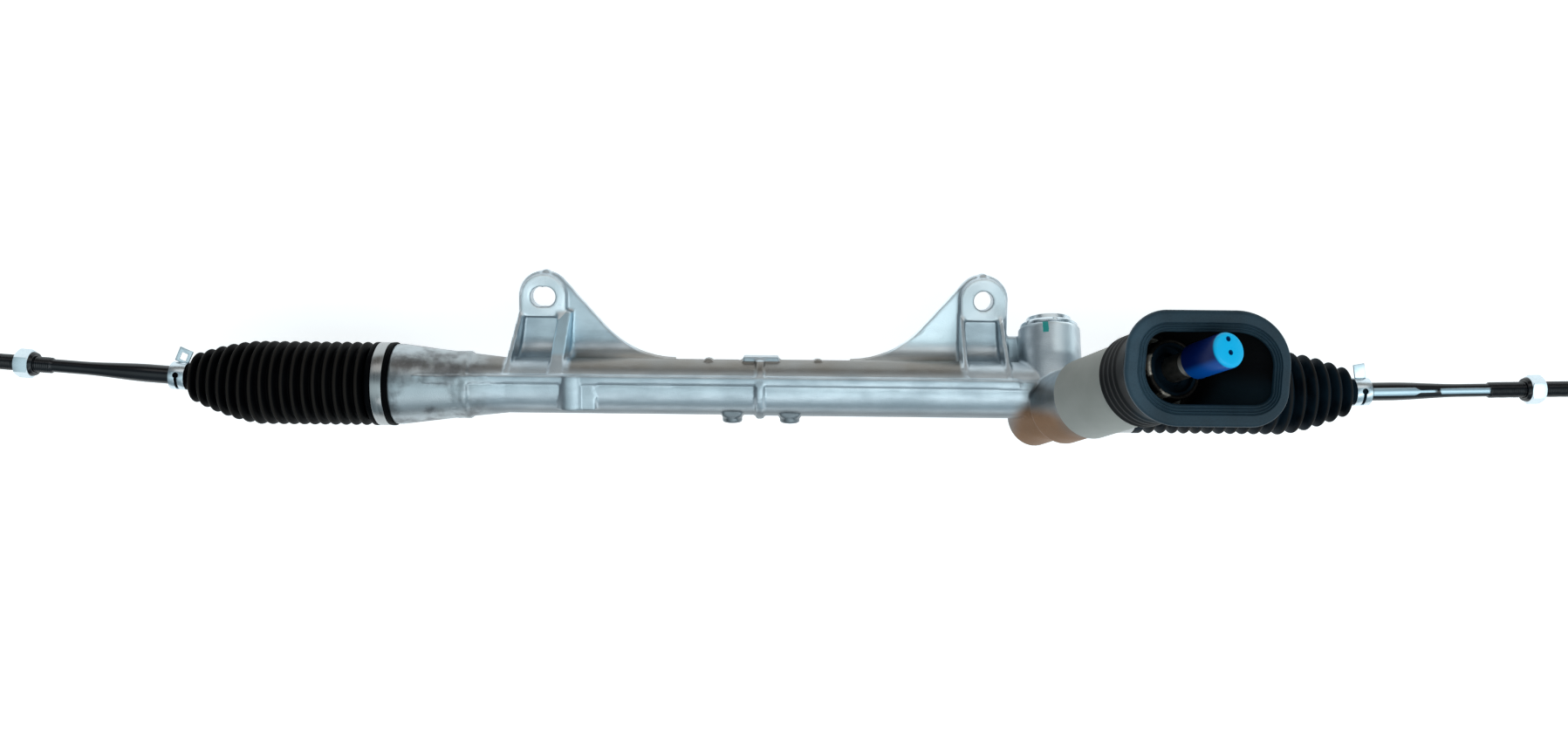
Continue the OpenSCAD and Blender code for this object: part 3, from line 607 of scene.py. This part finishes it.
zinc = Finish("zinc_plate", Metallic=1.0)
bloom = zinc.noise(400, 3.0)
zinc.feed(Roughness=0.2 + bloom * 0.18,
          Base_Color=bloom.between((0.52, 0.60, 0.65), (0.74, 0.82, 0.86)))
zinc.relief(zinc.noise(1800, 2.0), 0.012 * mm)
tower_rim, nut_height = 48, 3.5
plug_face, hexagon = tower_rim + 7.2, 17 / math.sqrt(3)
nut_top = tower_rim + nut_height
plug = turned("yoke_plug_turned", yoke_foot, yoke_way,
              [(0, 38), (18, 38), (18, nut_top), (16.6, nut_top), (16.6, plug_face), (0, plug_face)])
cut_out(plug, turned("plug_hexagon", yoke_foot, yoke_way,
                     ring_section(0, hexagon, tower_rim + 2, plug_face + 3), 6))
dress(eased(plug, 0.7), zinc, "housing", ["yoke_plug"])
lock_nut = turned("yoke_lock_ring", yoke_foot, yoke_way, [
    (18.05, tower_rim), (21.4, tower_rim), (21.4, tower_rim + 1.9), (19.6, nut_top), (18.05, nut_top)])
notches, notch_ring, notch_r, first_notch = 6, 22, 2.2, 28
for notch in range(notches):
    turn = math.radians(first_notch + 360 / notches * notch)
    spot = yoke_foot + yoke_way * (tower_rim + 2.6) * mm + (
        along_rack * math.cos(turn) + along_rack.cross(yoke_way) * math.sin(turn)) * notch_ring * mm
    cut_out(lock_nut, turned("spanner_notch", spot, yoke_way,
                             ring_section(0, notch_r, -1, 4), 24))
dress(eased(lock_nut, 0.3), zinc, "housing", ["yoke_lock_nut"])

# Column sleeve: a moulded grey polymer sleeve pushed over the pinion tower; its surface is
# matt and slightly translucent, with a rounded rim.
sleeve = Finish("grey_sleeve", Subsurface_Weight=0.12)
sleeve.shader.inputs["Subsurface Radius"].default_value = (0.004, 0.004, 0.004)
blotch = sleeve.noise(30, 3.0)
grit = sleeve.noise(1800, 2.0)
clouded = (blotch * 0.8 + grit * 0.2).over(0.3, 0.7)
sleeve.feed(Base_Color=clouded.between((0.345, 0.338, 0.302), (0.425, 0.415, 0.378)),
            Roughness=0.5 + grit * 0.16)
sleeve.relief(grit, 0.03 * mm)
sleeve_r, sleeve_bore, sleeve_foot, sleeve_rim = 28.9, 24.05, 48, 118
grey = turned("sleeve_moulding", mesh_point, to_shaft, [
    (sleeve_bore, sleeve_foot), (sleeve_r, sleeve_foot), (sleeve_r, sleeve_rim),
    (26, sleeve_rim + 2), (sleeve_bore, sleeve_rim - 5)])
dress(eased(grey, 1.1, 4), sleeve, "housing", ["column_sleeve"])

# Floor seal: a moulded rubber shroud. A ringed neck grips the sleeve, and its wall opens
# out to a thick oval lip that is pressed against the floor around the shaft's opening.
neck_grip, neck_top, seal_face = 106.6, 126.6, 165
lip_circles = [(247.5, 34.5, 36.2), (279.5, 36, 35.4), (237, 46.4, 25), (291.5, 21.3, 23)]
around = 160
facings = [Vector((math.cos(a), math.sin(a), 0)) for a in np.arange(around) * 2 * math.pi / around]


def neck_ring(station, radius):
    """Points of a circle about the shaft, one for each facing."""
    middle = mesh_point + to_shaft * station * mm
    return [middle + (f - to_shaft * f.dot(to_shaft)).normalized() * radius * mm for f in facings]


def lip_ring(height, grow):
    """Points of the lip's oval outline, moved out by grow, one for each facing.
    The lip is narrower at the right, so its inner rings reach farther there."""
    ring = []
    for f in facings:
        x, y, r = max(lip_circles, key=lambda c: c[0] * f.x + c[1] * f.y + c[2])
        inward = grow * (1 - 0.28 * max(0.0, f.x) ** 2)
        ring.append(on_rack(x + (r + inward) * f.x, y + (r + inward) * f.y, height))
    return ring


def eased_out(first, second, third, last, share):
    """Rings along a smooth wall that leaves the first ring towards the second and meets the last."""
    a, b, c, d = (1 - share) ** 3, 3 * share * (1 - share) ** 2, 3 * share ** 2 * (1 - share), share ** 3
    return [p * a + q * b + r * c + s * d for p, q, r, s in zip(first, second, third, last)]


def bead(place, centre, width):
    return max(0.0, 1 - ((place - centre) / width) ** 2)


neck_out, neck_in, neck_steps = 30.5, 28.1, 30
neck_rings, neck_ring_height = (108.4, 113.4, 118.4, 123.4), 1.1
rings = []
for k in range(neck_steps + 1):
    s = neck_grip + (neck_top - neck_grip) * k / neck_steps
    swell = sum(bead(s, c, 1.5) for c in neck_rings)
    rings.append(neck_ring(s, neck_out + neck_ring_height * swell))
wall_steps = 34
outer = (neck_ring(neck_top, neck_out), neck_ring(neck_top + 13, neck_out + 0.2),
         lip_ring(147, -5.5), lip_ring(159.2, -3.6))
for k in range(1, wall_steps):
    share = k / wall_steps
    swell = 0.9 * (bead(share, 0.3, 0.05) + bead(share, 0.55, 0.045) + bead(share, 0.78, 0.04))
    wall = eased_out(*outer, share)
    rings.append([p + f * swell * mm for p, f in zip(wall, facings)])
# The lip's edge is rounded, first under and then over its outermost ring
lip_r, lip_foot, bend_steps = 2.4, 159.6, 8
turns = [math.pi / 2 * k / bend_steps for k in range(bend_steps + 1)]
rings += [lip_ring(lip_foot + lip_r * (1 - math.cos(a)), lip_r * (math.sin(a) - 1)) for a in turns]
rings += [lip_ring(seal_face + lip_r * (math.sin(a) - 1), lip_r * (math.cos(a) - 1)) for a in turns[1:]]
# Its face slopes inwards, and fine ripples run round its inner half
face_from, face_width, face_steps = 3.4, 9.6, 45
ripple_from, ripple_height, ripple_pitch = 7.4, 0.5, 1.9
for k in range(face_steps + 1):
    inward = face_from + face_width * k / face_steps
    past_flat = inward - ripple_from
    ridged = min(1.0, max(0.0, past_flat / 0.8))
    ripple = ripple_height * (math.cos(past_flat * 2 * math.pi / ripple_pitch) - 1)
    slope = 0.03 * (inward - face_from) + 0.16 * max(0.0, past_flat) ** 1.35
    rings.append(lip_ring(seal_face - slope + ridged * ripple, -inward))
# The face rolls over into the throat, and the wall's inside runs back to the neck
throat, throat_drop, throat_r = 13.0, 3.6, 1.3
for k in range(1, bend_steps + 1):
    turn = math.pi * k / bend_steps
    rings.append(lip_ring(seal_face - throat_drop - throat_r * (1 - math.cos(turn)),
                          -throat - 0.9 * math.sin(turn) + 0.2 * k / bend_steps))
inner = (lip_ring(158.4, -throat + 0.4), lip_ring(152, -7.2),
         neck_ring(neck_top + 12, neck_in + 0.3), neck_ring(neck_top, neck_in))
for k in range(wall_steps + 1):
    rings.append(eased_out(*inner, k / wall_steps))
rings.append(neck_ring(neck_grip, sleeve_r + 0.05))
seal_mesh = bpy.data.meshes.new("floor_seal_moulding")
seal_mesh.from_pydata([p for ring in rings for p in ring], [], [
    (j * around + k, j * around + (k + 1) % around,
     (j + 1) % len(rings) * around + (k + 1) % around, (j + 1) % len(rings) * around + k)
    for j in range(len(rings)) for k in range(around)])
seal = made("floor_seal_moulding", seal_mesh)
work = bmesh.new()
work.from_mesh(seal_mesh)
bmesh.ops.recalc_face_normals(work, faces=work.faces)
work.to_mesh(seal_mesh)
work.free()
seal_mesh.shade_smooth()
slate = Finish("slate_rubber", Specular_IOR_Level=0.3)
chalk = slate.noise(60, 4.0)
lip_zone = slate.z.over(on_rack(0, 0, 156).z, on_rack(0, 0, 160.5).z)
dusty = (chalk * 0.7 + slate.noise(900, 2.0) * 0.3).over(0.3, 0.7)
low_wall = (slate.y.over(on_rack(0, 32).y, on_rack(0, 18).y)
            * slate.x.over(on_rack(222).x, on_rack(236).x)
            * slate.z.over(on_rack(0, 0, 118).z, on_rack(0, 0, 130).z))
wall_tone = low_wall.between((0.003, 0.0033, 0.004), (0.010, 0.022, 0.030))
# Chalky dust lies on the lip, and its left part is painted paler as a painted highlight
dust_and_highlight_lip = dusty.between((0.006, 0.024, 0.038), (0.014, 0.040, 0.060))
painted_highlight_left = slate.x.over(on_rack(240).x, on_rack(212).x)
dust_and_highlight_lip = (painted_highlight_left * (0.5 + dusty * 0.5)).between(dust_and_highlight_lip, (0.036, 0.076, 0.108))
slate.feed(Base_Color=lip_zone.between(wall_tone, dust_and_highlight_lip),
           Roughness=0.42 + chalk * 0.2)
slate.relief(slate.noise(1500, 2.0), 0.04 * mm)
dress(seal, slate, "housing", ["floor_seal"])

# Spline cap: a blue moulded cap that keeps dirt off the shaft's splines until the steering
# column is fitted. Its face has the two small dimples of the mould's ejector pins.
cap_foot, cap_face, cap_r, cap_bore, cap_floor = 167, 200, 11.4, 8.1, 196.5
cap = turned("blue_cap", mesh_point, to_shaft, [
    (cap_bore, cap_foot), (cap_r, cap_foot), (cap_r, cap_face - 2.4), (cap_r - 0.5, cap_face - 1.2),
    (cap_r - 1.2, cap_face - 0.4), (cap_r - 2.4, cap_face), (0, cap_face), (0, cap_floor),
    (cap_bore, cap_floor)])
eased(cap, 0.5, 3, 40)
dimple_r, dimple_depth, dimples = 1.6, 2.2, (-1.9, 6.6)
for place in dimples:
    spot = mesh_point + to_shaft * (cap_face - dimple_depth) * mm + uphill * place * mm
    cut_out(cap, turned("ejector_dimple", spot, to_shaft, ring_section(0, dimple_r, 0, 3), 28))
cap.data.set_sharp_from_angle(angle=math.radians(35))
blue = Finish("blue_cap", Specular_IOR_Level=0.3, Subsurface_Weight=0.05)
on_cap, belly, sideways = (blue.along(mesh_point, w) for w in (to_shaft, uphill, leftward))
# The sides are painted dark navy as painted shade, lighter along their lower part as painted light, and
# the dimples darker as painted shade
painted_shade_sides = belly.past(-3.5, -8).between((0.0, 0.010, 0.10), (0.0, 0.085, 0.40))
face = on_cap.past(cap_face - 2.6, cap_face - 1.0).between(painted_shade_sides, (0.0, 0.56, 1.0))
from_dimple = [((belly - place * mm) ** 2 + sideways ** 2) ** 0.5 for place in dimples]
painted_dimple_shade = from_dimple[0].most(from_dimple[1]).past(1.9, 1.5)
face = painted_dimple_shade.between(face, (0.0, 0.045, 0.22))
blue.feed(Base_Color=face, Roughness=0.3 + blue.noise(300, 3.0) * 0.12)
dress(cap, blue, "pinion", ["spline_cap"])


# Bellows: blow-moulded rubber, a cuff on the housing, even folds over the rack's end, and
# folds that shrink over the ball joint to a neck on the tie rod.
def grown(name, sizes, rule, rings, sides, finish):
    """A tube that a node tree grows from a flat grid; rule gives each point's place and crest mark."""
    tree = bpy.data.node_groups.new(name, "GeometryNodeTree")
    tree.interface.new_socket("Geometry", in_out="INPUT", socket_type="NodeSocketGeometry")
    tree.interface.new_socket("Geometry", in_out="OUTPUT", socket_type="NodeSocketGeometry")
    sockets = {key: tree.interface.new_socket(key, in_out="INPUT", socket_type=(
        "NodeSocketVector" if isinstance(value, Vector) else "NodeSocketFloat"))
        for key, value in sizes.items()}
    given = tree.nodes.new("NodeGroupInput")
    start = Signal(tree, given.outputs[0])
    place = start.node("GeometryNodeInputPosition")
    along, about = (start.node("ShaderNodeSeparateXYZ", None, {0: place}, out=i) + 0.5 for i in (0, 1))
    inputs = {key: Signal(tree, given.outputs[key]) for key in sizes}
    spot, crest = rule(along, about * (2 * math.pi), inputs)
    grid = start.node("GeometryNodeMeshGrid", None,
                      {"Size X": 1.0, "Size Y": 1.0, "Vertices X": rings, "Vertices Y": sides + 1})
    tube = start.node("GeometryNodeStoreNamedAttribute", {"data_type": "FLOAT", "domain": "POINT"},
                      {"Geometry": grid, "Name": "crest", "Value": crest})
    tube = start.node("GeometryNodeSetPosition", None, {"Geometry": tube, "Position": spot})
    tube = start.node("GeometryNodeMergeByDistance", None, {"Geometry": tube, "Distance": 0.002 * mm})
    tube = start.node("GeometryNodeRealizeInstances", None, {"Geometry": tube})
    tube = start.node("GeometryNodeSetMaterial", None, {"Geometry": tube, "Material": finish.material})
    result = tree.nodes.new("NodeGroupOutput")
    tree.links.new(tube.link, result.inputs[0])
    piece = made(name, bpy.data.meshes.new(name))
    growth = piece.modifiers.new("grown", "NODES")
    growth.node_group = tree
    for key, value in sizes.items():
        growth[sockets[key].identifier] = tuple(value) if isinstance(value, Vector) else float(value)
    settled(piece)
    work = bmesh.new()
    work.from_mesh(piece.data)
    bmesh.ops.recalc_face_normals(work, faces=work.faces)
    middle = sum((f.calc_center_median() for f in work.faces), Vector()) / len(work.faces)
    outward = sum((f.calc_center_median() - middle).dot(f.normal) * f.calc_area() for f in work.faces)
    if outward < 0:
        bmesh.ops.reverse_faces(work, faces=work.faces)
    work.to_mesh(piece.data)
    work.free()
    piece.data.shade_smooth()
    return piece


def fold_rule(along, about, size):
    """Folds about the rack's line up to the ball, and about the tie rod's line past it."""
    station = size["First Station"] + along * (size["Last Station"] - size["First Station"])
    before, past = station.most(0.0), station.least(0.0)
    phase = before / size["Fold Pitch"] + past / size["Tip Pitch"]
    tip = station.over(0.0, size["Tip Pitch"] * 0.6)
    depth = size["Fold Depth"] + tip * (size["Tip Depth"] - size["Fold Depth"])
    crest = size["Crest Radius"] - (size["Crest Radius"] - size["Last Crest"]) * (
        past / size["Tip Length"]) ** 1.6
    sunk = depth * (1.0 - abs((phase * math.pi).cos()))
    folded = crest - sunk
    neck = station.over(size["Tip Length"] + 0.4 * mm, size["Tip Length"] + 8.2 * mm)
    radius = folded + neck * (size["Neck Radius"] - folded)
    bend = station.past(-14, 14)
    rack_up, rod_up = size["Rack Up"], size["Rod Up"]
    ring_up = rack_up.node("ShaderNodeMix", {"data_type": "VECTOR"},
                           {0: bend, 4: rack_up, 5: rod_up}, out=1)
    spot = size["Ball"].beyond(size["Rack Way"], before).beyond(size["Rod Way"], past)
    on_crest = sunk.past(0.75, 0.1) * (1.0 - neck)
    return spot.beyond(ring_up, radius * about.cos()).beyond(tuple(out), radius * about.sin()), on_crest


rubber_t, cuff_seat_r = 1.5, 27.9
crest_r, last_crest, neck_r, tip_length, neck_end = 31, 18.5, 9.2, 49, 68
rod_rise = {-1: math.radians(4), 1: math.radians(1.4)}
# The three pieces of a bellows meet at its breaks, counted in tip folds past the ball
boots = {
    "left": {"ball": ball_left, "way": -1, "station": ball_left_station, "cuff": (287.7, 303),
             "band": 291.4, "folds": 10, "tip_folds": 6, "depth": 4.4, "tip_depth": 5.6,
             "breaks": (1.5, 3.5)},
    "right": {"ball": ball_right, "way": 1, "station": ball_right_station, "cuff": (246, 264),
              "band": 249.7, "folds": 11, "tip_folds": 5, "depth": 5.8, "tip_depth": 9.0,
              "breaks": (0.5, 2.5)},
}
overlap, spread = 1.2, 8
rod_way = {}
for side, boot in boots.items():
    rack_way = along_rack * boot["way"]
    rise = rod_rise[boot["way"]]
    rod_way[side] = rack_way * math.cos(rise) + up * math.sin(rise)
    start = boot["cuff"][1] + 3 - boot["station"]
    pitch = -start / (boot["folds"] + 0.5)
    tip_pitch = tip_length / boot["tip_folds"]
    sizes = {"Ball": boot["ball"], "Rack Way": rack_way, "Rod Way": rod_way[side],
             "Rack Up": out.cross(rack_way), "Rod Up": out.cross(rod_way[side]),
             "Crest Radius": crest_r * mm, "Last Crest": last_crest * mm, "Neck Radius": neck_r * mm,
             "Fold Pitch": pitch * mm, "Fold Depth": boot["depth"] * mm, "Tip Length": tip_length * mm,
             "Tip Pitch": tip_pitch * mm, "Tip Depth": boot["tip_depth"] * mm}
    run_end, shoulder_end = (folds * tip_pitch for folds in boot["breaks"])
    stretches = [("boot_run_", start, run_end, "housing", "rack"),
                 ("boot_shoulder_", run_end - overlap, shoulder_end, "rack", "seat_" + side),
                 ("boot_nose_", shoulder_end - overlap, neck_end, "seat_" + side, "rod_" + side)]
    for name, first, last, body, next_body in stretches:
        piece = grown(name + side, {**sizes, "First Station": first * mm, "Last Station": last * mm},
                      fold_rule, 12 + int((last - first) * 2.2), 112, rubber)
        wall = piece.modifiers.new("wall", "SOLIDIFY")
        wall.thickness, wall.offset, wall.use_rim = rubber_t * mm, -1, True
        settled(piece)
        dress(piece, rubber)
        line = [boot["ball"] + (rack_way if s < 0 else rod_way[side]) * s * mm
                for s in (first, last, first - spread, last + spread)]
        near, far = line[2:] if body == "housing" else line[:2]
        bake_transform(piece)
    low, high = boot["cuff"]
    cuff = turned("boot_cuff_" + side, rack_middle, rack_way, [
        (cuff_seat_r, low), (crest_r, low), (crest_r, low + 3), (29.95, low + 3.2), (29.95, low + 12.2),
        (crest_r, low + 12.4), (crest_r, high), (25.4, high + 3), (25.4 - 1.0, high + 4.2),
        (23.6, high + 3.6), (cuff_seat_r, high + 0.3)])
    dress(eased(cuff, 0.6), rubber, "housing", ["bellows_" + side])

# Band clamps: stainless strip drawn tight round each cuff, its crimped ear on the far side.
band_steel = grained("band_steel", (500, 3.0, (1.0, 0.1, 0.1)), (
    (0.27, 0.275, 0.275), (0.45, 0.46, 0.46)), (0.2, 0.16), Metallic=1.0)
# The crimped ear's section, as (aside, radius) pairs in mm
ear_section = [
    (-6.2, 30.0), (-4.6, 30.6), (-4.1, 34.2), (-3.2, 34.9), (3.2, 34.9), (4.1, 34.2), (4.6, 30.6),
    (6.2, 30.0), (5.4, 29.9), (3.6, 30.4), (3.2, 33.6), (2.8, 34.0), (-2.8, 34.0), (-3.2, 33.6),
    (-3.6, 30.4), (-5.4, 29.9)]
band_width, ear_turn = 8, 0.14
for side, boot in boots.items():
    low = boot["band"]
    rack_way = along_rack * boot["way"]
    band = turned("band_" + side, rack_middle, rack_way,
                  ring_section(30, 30.9, low, low + band_width), 144)
    # The ear's place is read from the solid: its farthest point from the rack's line
    corners = [v.co - rack_middle for v in frame["nodes"]["band_clamp_" + side].data.vertices]
    tip = max(corners, key=lambda c: c.y * c.y + c.z * c.z)
    ear_way = Vector((0, tip.y, tip.z)).normalized()
    ear_aside = along_rack.cross(ear_way)
    towards = -1 if ear_aside.dot(tip) > 0 else 1
    ear_way = ear_way * math.cos(ear_turn) + ear_aside * math.sin(ear_turn) * towards
    ear_aside = along_rack.cross(ear_way)
    ear_mesh = bmesh.new()
    ends = [[ear_mesh.verts.new(rack_middle + (rack_way * x + ear_way * r + ear_aside * a) * mm)
             for a, r in ear_section] for x in (low + 0.6, low + band_width - 0.6)]
    for k in range(len(ear_section)):
        ear_mesh.faces.new((ends[0][k], ends[0][k - 1], ends[1][k - 1], ends[1][k]))
    for k in range(len(ear_section) // 2 - 1):
        for end in ends:
            ear_mesh.faces.new((end[k], end[k + 1], end[-2 - k], end[-1 - k]))
    bmesh.ops.recalc_face_normals(ear_mesh, faces=ear_mesh.faces)
    ear = worked("band_ear_" + side, ear_mesh)
    dress(eased(ear, 0.15, 2), band_steel, "housing")
    dress(eased(band, 0.25), band_steel, "housing", ["band_clamp_" + side])


# Tie rods: forged steel in black enamel, a ball at the inner end, a waisted shank, and a
# rolled M12 thread at the outer end.
def rod_rule(along, about, size):
    """Ball, neck, shank, waist and helical thread, at their stations from the ball's centre.
    A rod has no folds, so its crest mark is 0."""
    shank_share = 0.2
    flat = 1 - 1.5 / 420
    grown_to = (along / flat).most(1.0)
    shank = (grown_to / shank_share).most(1.0)
    tail = ((grown_to - shank_share) / (1 - shank_share)).least(0.0)
    thread_at = size["Thread From"] - 4 * mm
    station = shank * (thread_at + size["Ball Radius"]) - size["Ball Radius"] + tail * (
        size["Rod Length"] - thread_at)
    ball = (size["Ball Radius"] ** 2 - station * station).least(0.0) ** 0.5
    thin_r, shank_swell, waist_draw, thread_swell = 6.2 * mm, 0.6 * mm, 1.9 * mm, 1.1 * mm
    body = thin_r + station.past(17, 21) * shank_swell
    body = body - station.past(84, 136) * waist_draw
    body = body + station.over(size["Thread From"] - 2 * mm, size["Thread From"]) * thread_swell
    winding = (station / size["Thread Pitch"] - about / (2 * math.pi)).fraction()
    groove = 1.0 - abs(winding - 0.5) * 2.0
    threaded = station.over(size["Thread From"] - 1 * mm, size["Thread From"] + 1 * mm)
    depth = size["Thread Depth"] * threaded
    chamfer = station.over(size["Rod Length"] - 2 * mm, size["Rod Length"]) * 1.4 * mm
    shaft = (body - depth * groove - chamfer) * station.past(-1, 1)
    end = 1.0 - along.maths("GREATER_THAN", along, flat + 0.0006)
    radius = ball.least(shaft) * end
    spot = size["Ball"].beyond(size["Rod Way"], station)
    spot = spot.beyond(size["Rod Up"], radius * about.cos())
    return spot.beyond(tuple(out), radius * about.sin()), 0.0


enamel = Finish("black_enamel", Specular_IOR_Level=0.38)
orange_peel = enamel.noise(700, 2.0)
# Two long spots on the front of the right rod are painted highlights, coloured as bright bare steel
right_way, right_up = rod_way["right"], out.cross(rod_way["right"])
on_rod, off_line = (enamel.along(ball_right, w) for w in (right_way, right_up))
ragged_edge = (enamel.noise(260, 3.0) - 0.5) * 1.6 * mm
half_first = 2.9 * mm - on_rod.past(100, 105) * 2.0 * mm
first_spot = (on_rod.past(69, 70) * on_rod.past(118, 114)
              * abs(off_line - 0.4 * mm).over(half_first + 0.15 * mm, half_first - 0.15 * mm))
second_spot = ((on_rod + ragged_edge * 3.0).past(120, 121)
               * (on_rod + ragged_edge).past(157, 156)
               * (abs(off_line - 0.2 * mm) + ragged_edge * 0.3).past(2.3, 2.0))
painted_rod_highlight = (first_spot + second_spot).most(1.0) * enamel.z.over(ball_right.z, ball_right.z + 1 * mm)
coat = enamel.noise(300, 3.0).between((0.003, 0.0035, 0.005), (0.008, 0.009, 0.012))
enamel.feed(Base_Color=painted_rod_highlight.between(coat, (0.42, 0.53, 0.59)), Metallic=painted_rod_highlight,
            Roughness=0.12 + orange_peel * 0.08 + painted_rod_highlight * 0.2)
enamel.relief(orange_peel, 0.015 * mm)
nut_station, rod_end = {"left": 177, "right": 191}, 240
for side, boot in boots.items():
    way = rod_way[side]
    rod = grown("tie_rod_forging_" + side, {
        "Ball": boot["ball"], "Rod Way": way, "Rod Up": out.cross(way), "Ball Radius": 13 * mm,
        "Thread From": 158 * mm, "Thread Pitch": 1.5 * mm, "Thread Depth": 0.75 * mm,
        "Rod Length": rod_end * mm}, rod_rule, 421, 40, enamel)
    dress(rod, enamel, "rod_" + side, ["tie_rod_" + side])
    nut_face = nut_station[side] - 5.25
    collar = turned("nut_washer_" + side, boot["ball"], way,
                    [(5.9, nut_face - 2.6), (8.2, nut_face - 2.6), (9.3, nut_face), (5.9, nut_face)])
    dress(eased(collar, 0.4), enamel, "rod_" + side)
    nut = copy_of("jam_nut_" + side, "lock_nut_" + side)
    work = bmesh.new()
    work.from_mesh(nut.data)
    bmesh.ops.dissolve_limit(work, angle_limit=math.radians(1), verts=work.verts, edges=work.edges)
    work.to_mesh(nut.data)
    work.free()
    dress(eased(nut, 0.35, 3, 20), zinc, "rod_" + side, ["jam_nut_" + side])

# Spring clamps: zinc-plated spring strip round the necks. The front is split by a keyhole,
# and a tang stands up for the pliers, bent towards the bellows; the left one has a window.
clamp_station = 62
strip_in, strip_out, half_strip = 9.25, 10.3, 5.6
keyhole_r, keyhole_up, half_split = 2.2, 1.5, 1.1
tang_foot, tang_tip, half_thick = 9.8, 21, 0.8
for side, boot in boots.items():
    way = rod_way[side]
    upright = out.cross(way) * boot["way"]
    stand = Matrix.Translation(boot["ball"] + way * clamp_station * mm) @ Matrix(
        (way * boot["way"], upright, out)).transposed().to_4x4()
    hoop = turned("neck_clip_" + side, Vector(), level,
                  ring_section(strip_in, strip_out, -half_strip, half_strip))
    cut_out(hoop, turned("keyhole", offset(0, keyhole_up, 3), out,
                         ring_section(0, keyhole_r, 0, 9), 32))
    cut_out(hoop, block("split", offset(-half_split, -9.4, 3), offset(half_split, keyhole_up, 12)))
    eased(hoop, 0.25, 2)
    half, bent = {"left": (5.2, 20), "right": (4.2, 9)}[side]
    tang = block("tang", offset(-half, tang_foot, -half_thick), offset(half, tang_tip, half_thick))
    if side == "left":
        cut_out(tang, block("window", offset(-2.4, 12, -2), offset(2.4, 17.6, 2)))
    eased(tang, 0.45, 3)
    fold_line = offset(0, 9.6, 0)
    tang.data.transform(Matrix.Translation(fold_line) @ Matrix.Rotation(
        math.radians(bent) * boot["way"], 4, "Z") @ Matrix.Translation(-fold_line))
    grouped(hoop, tang)
    hoop.data.transform(stand)
    dress(hoop, zinc, "rod_" + side, ["spring_clamp_" + side])
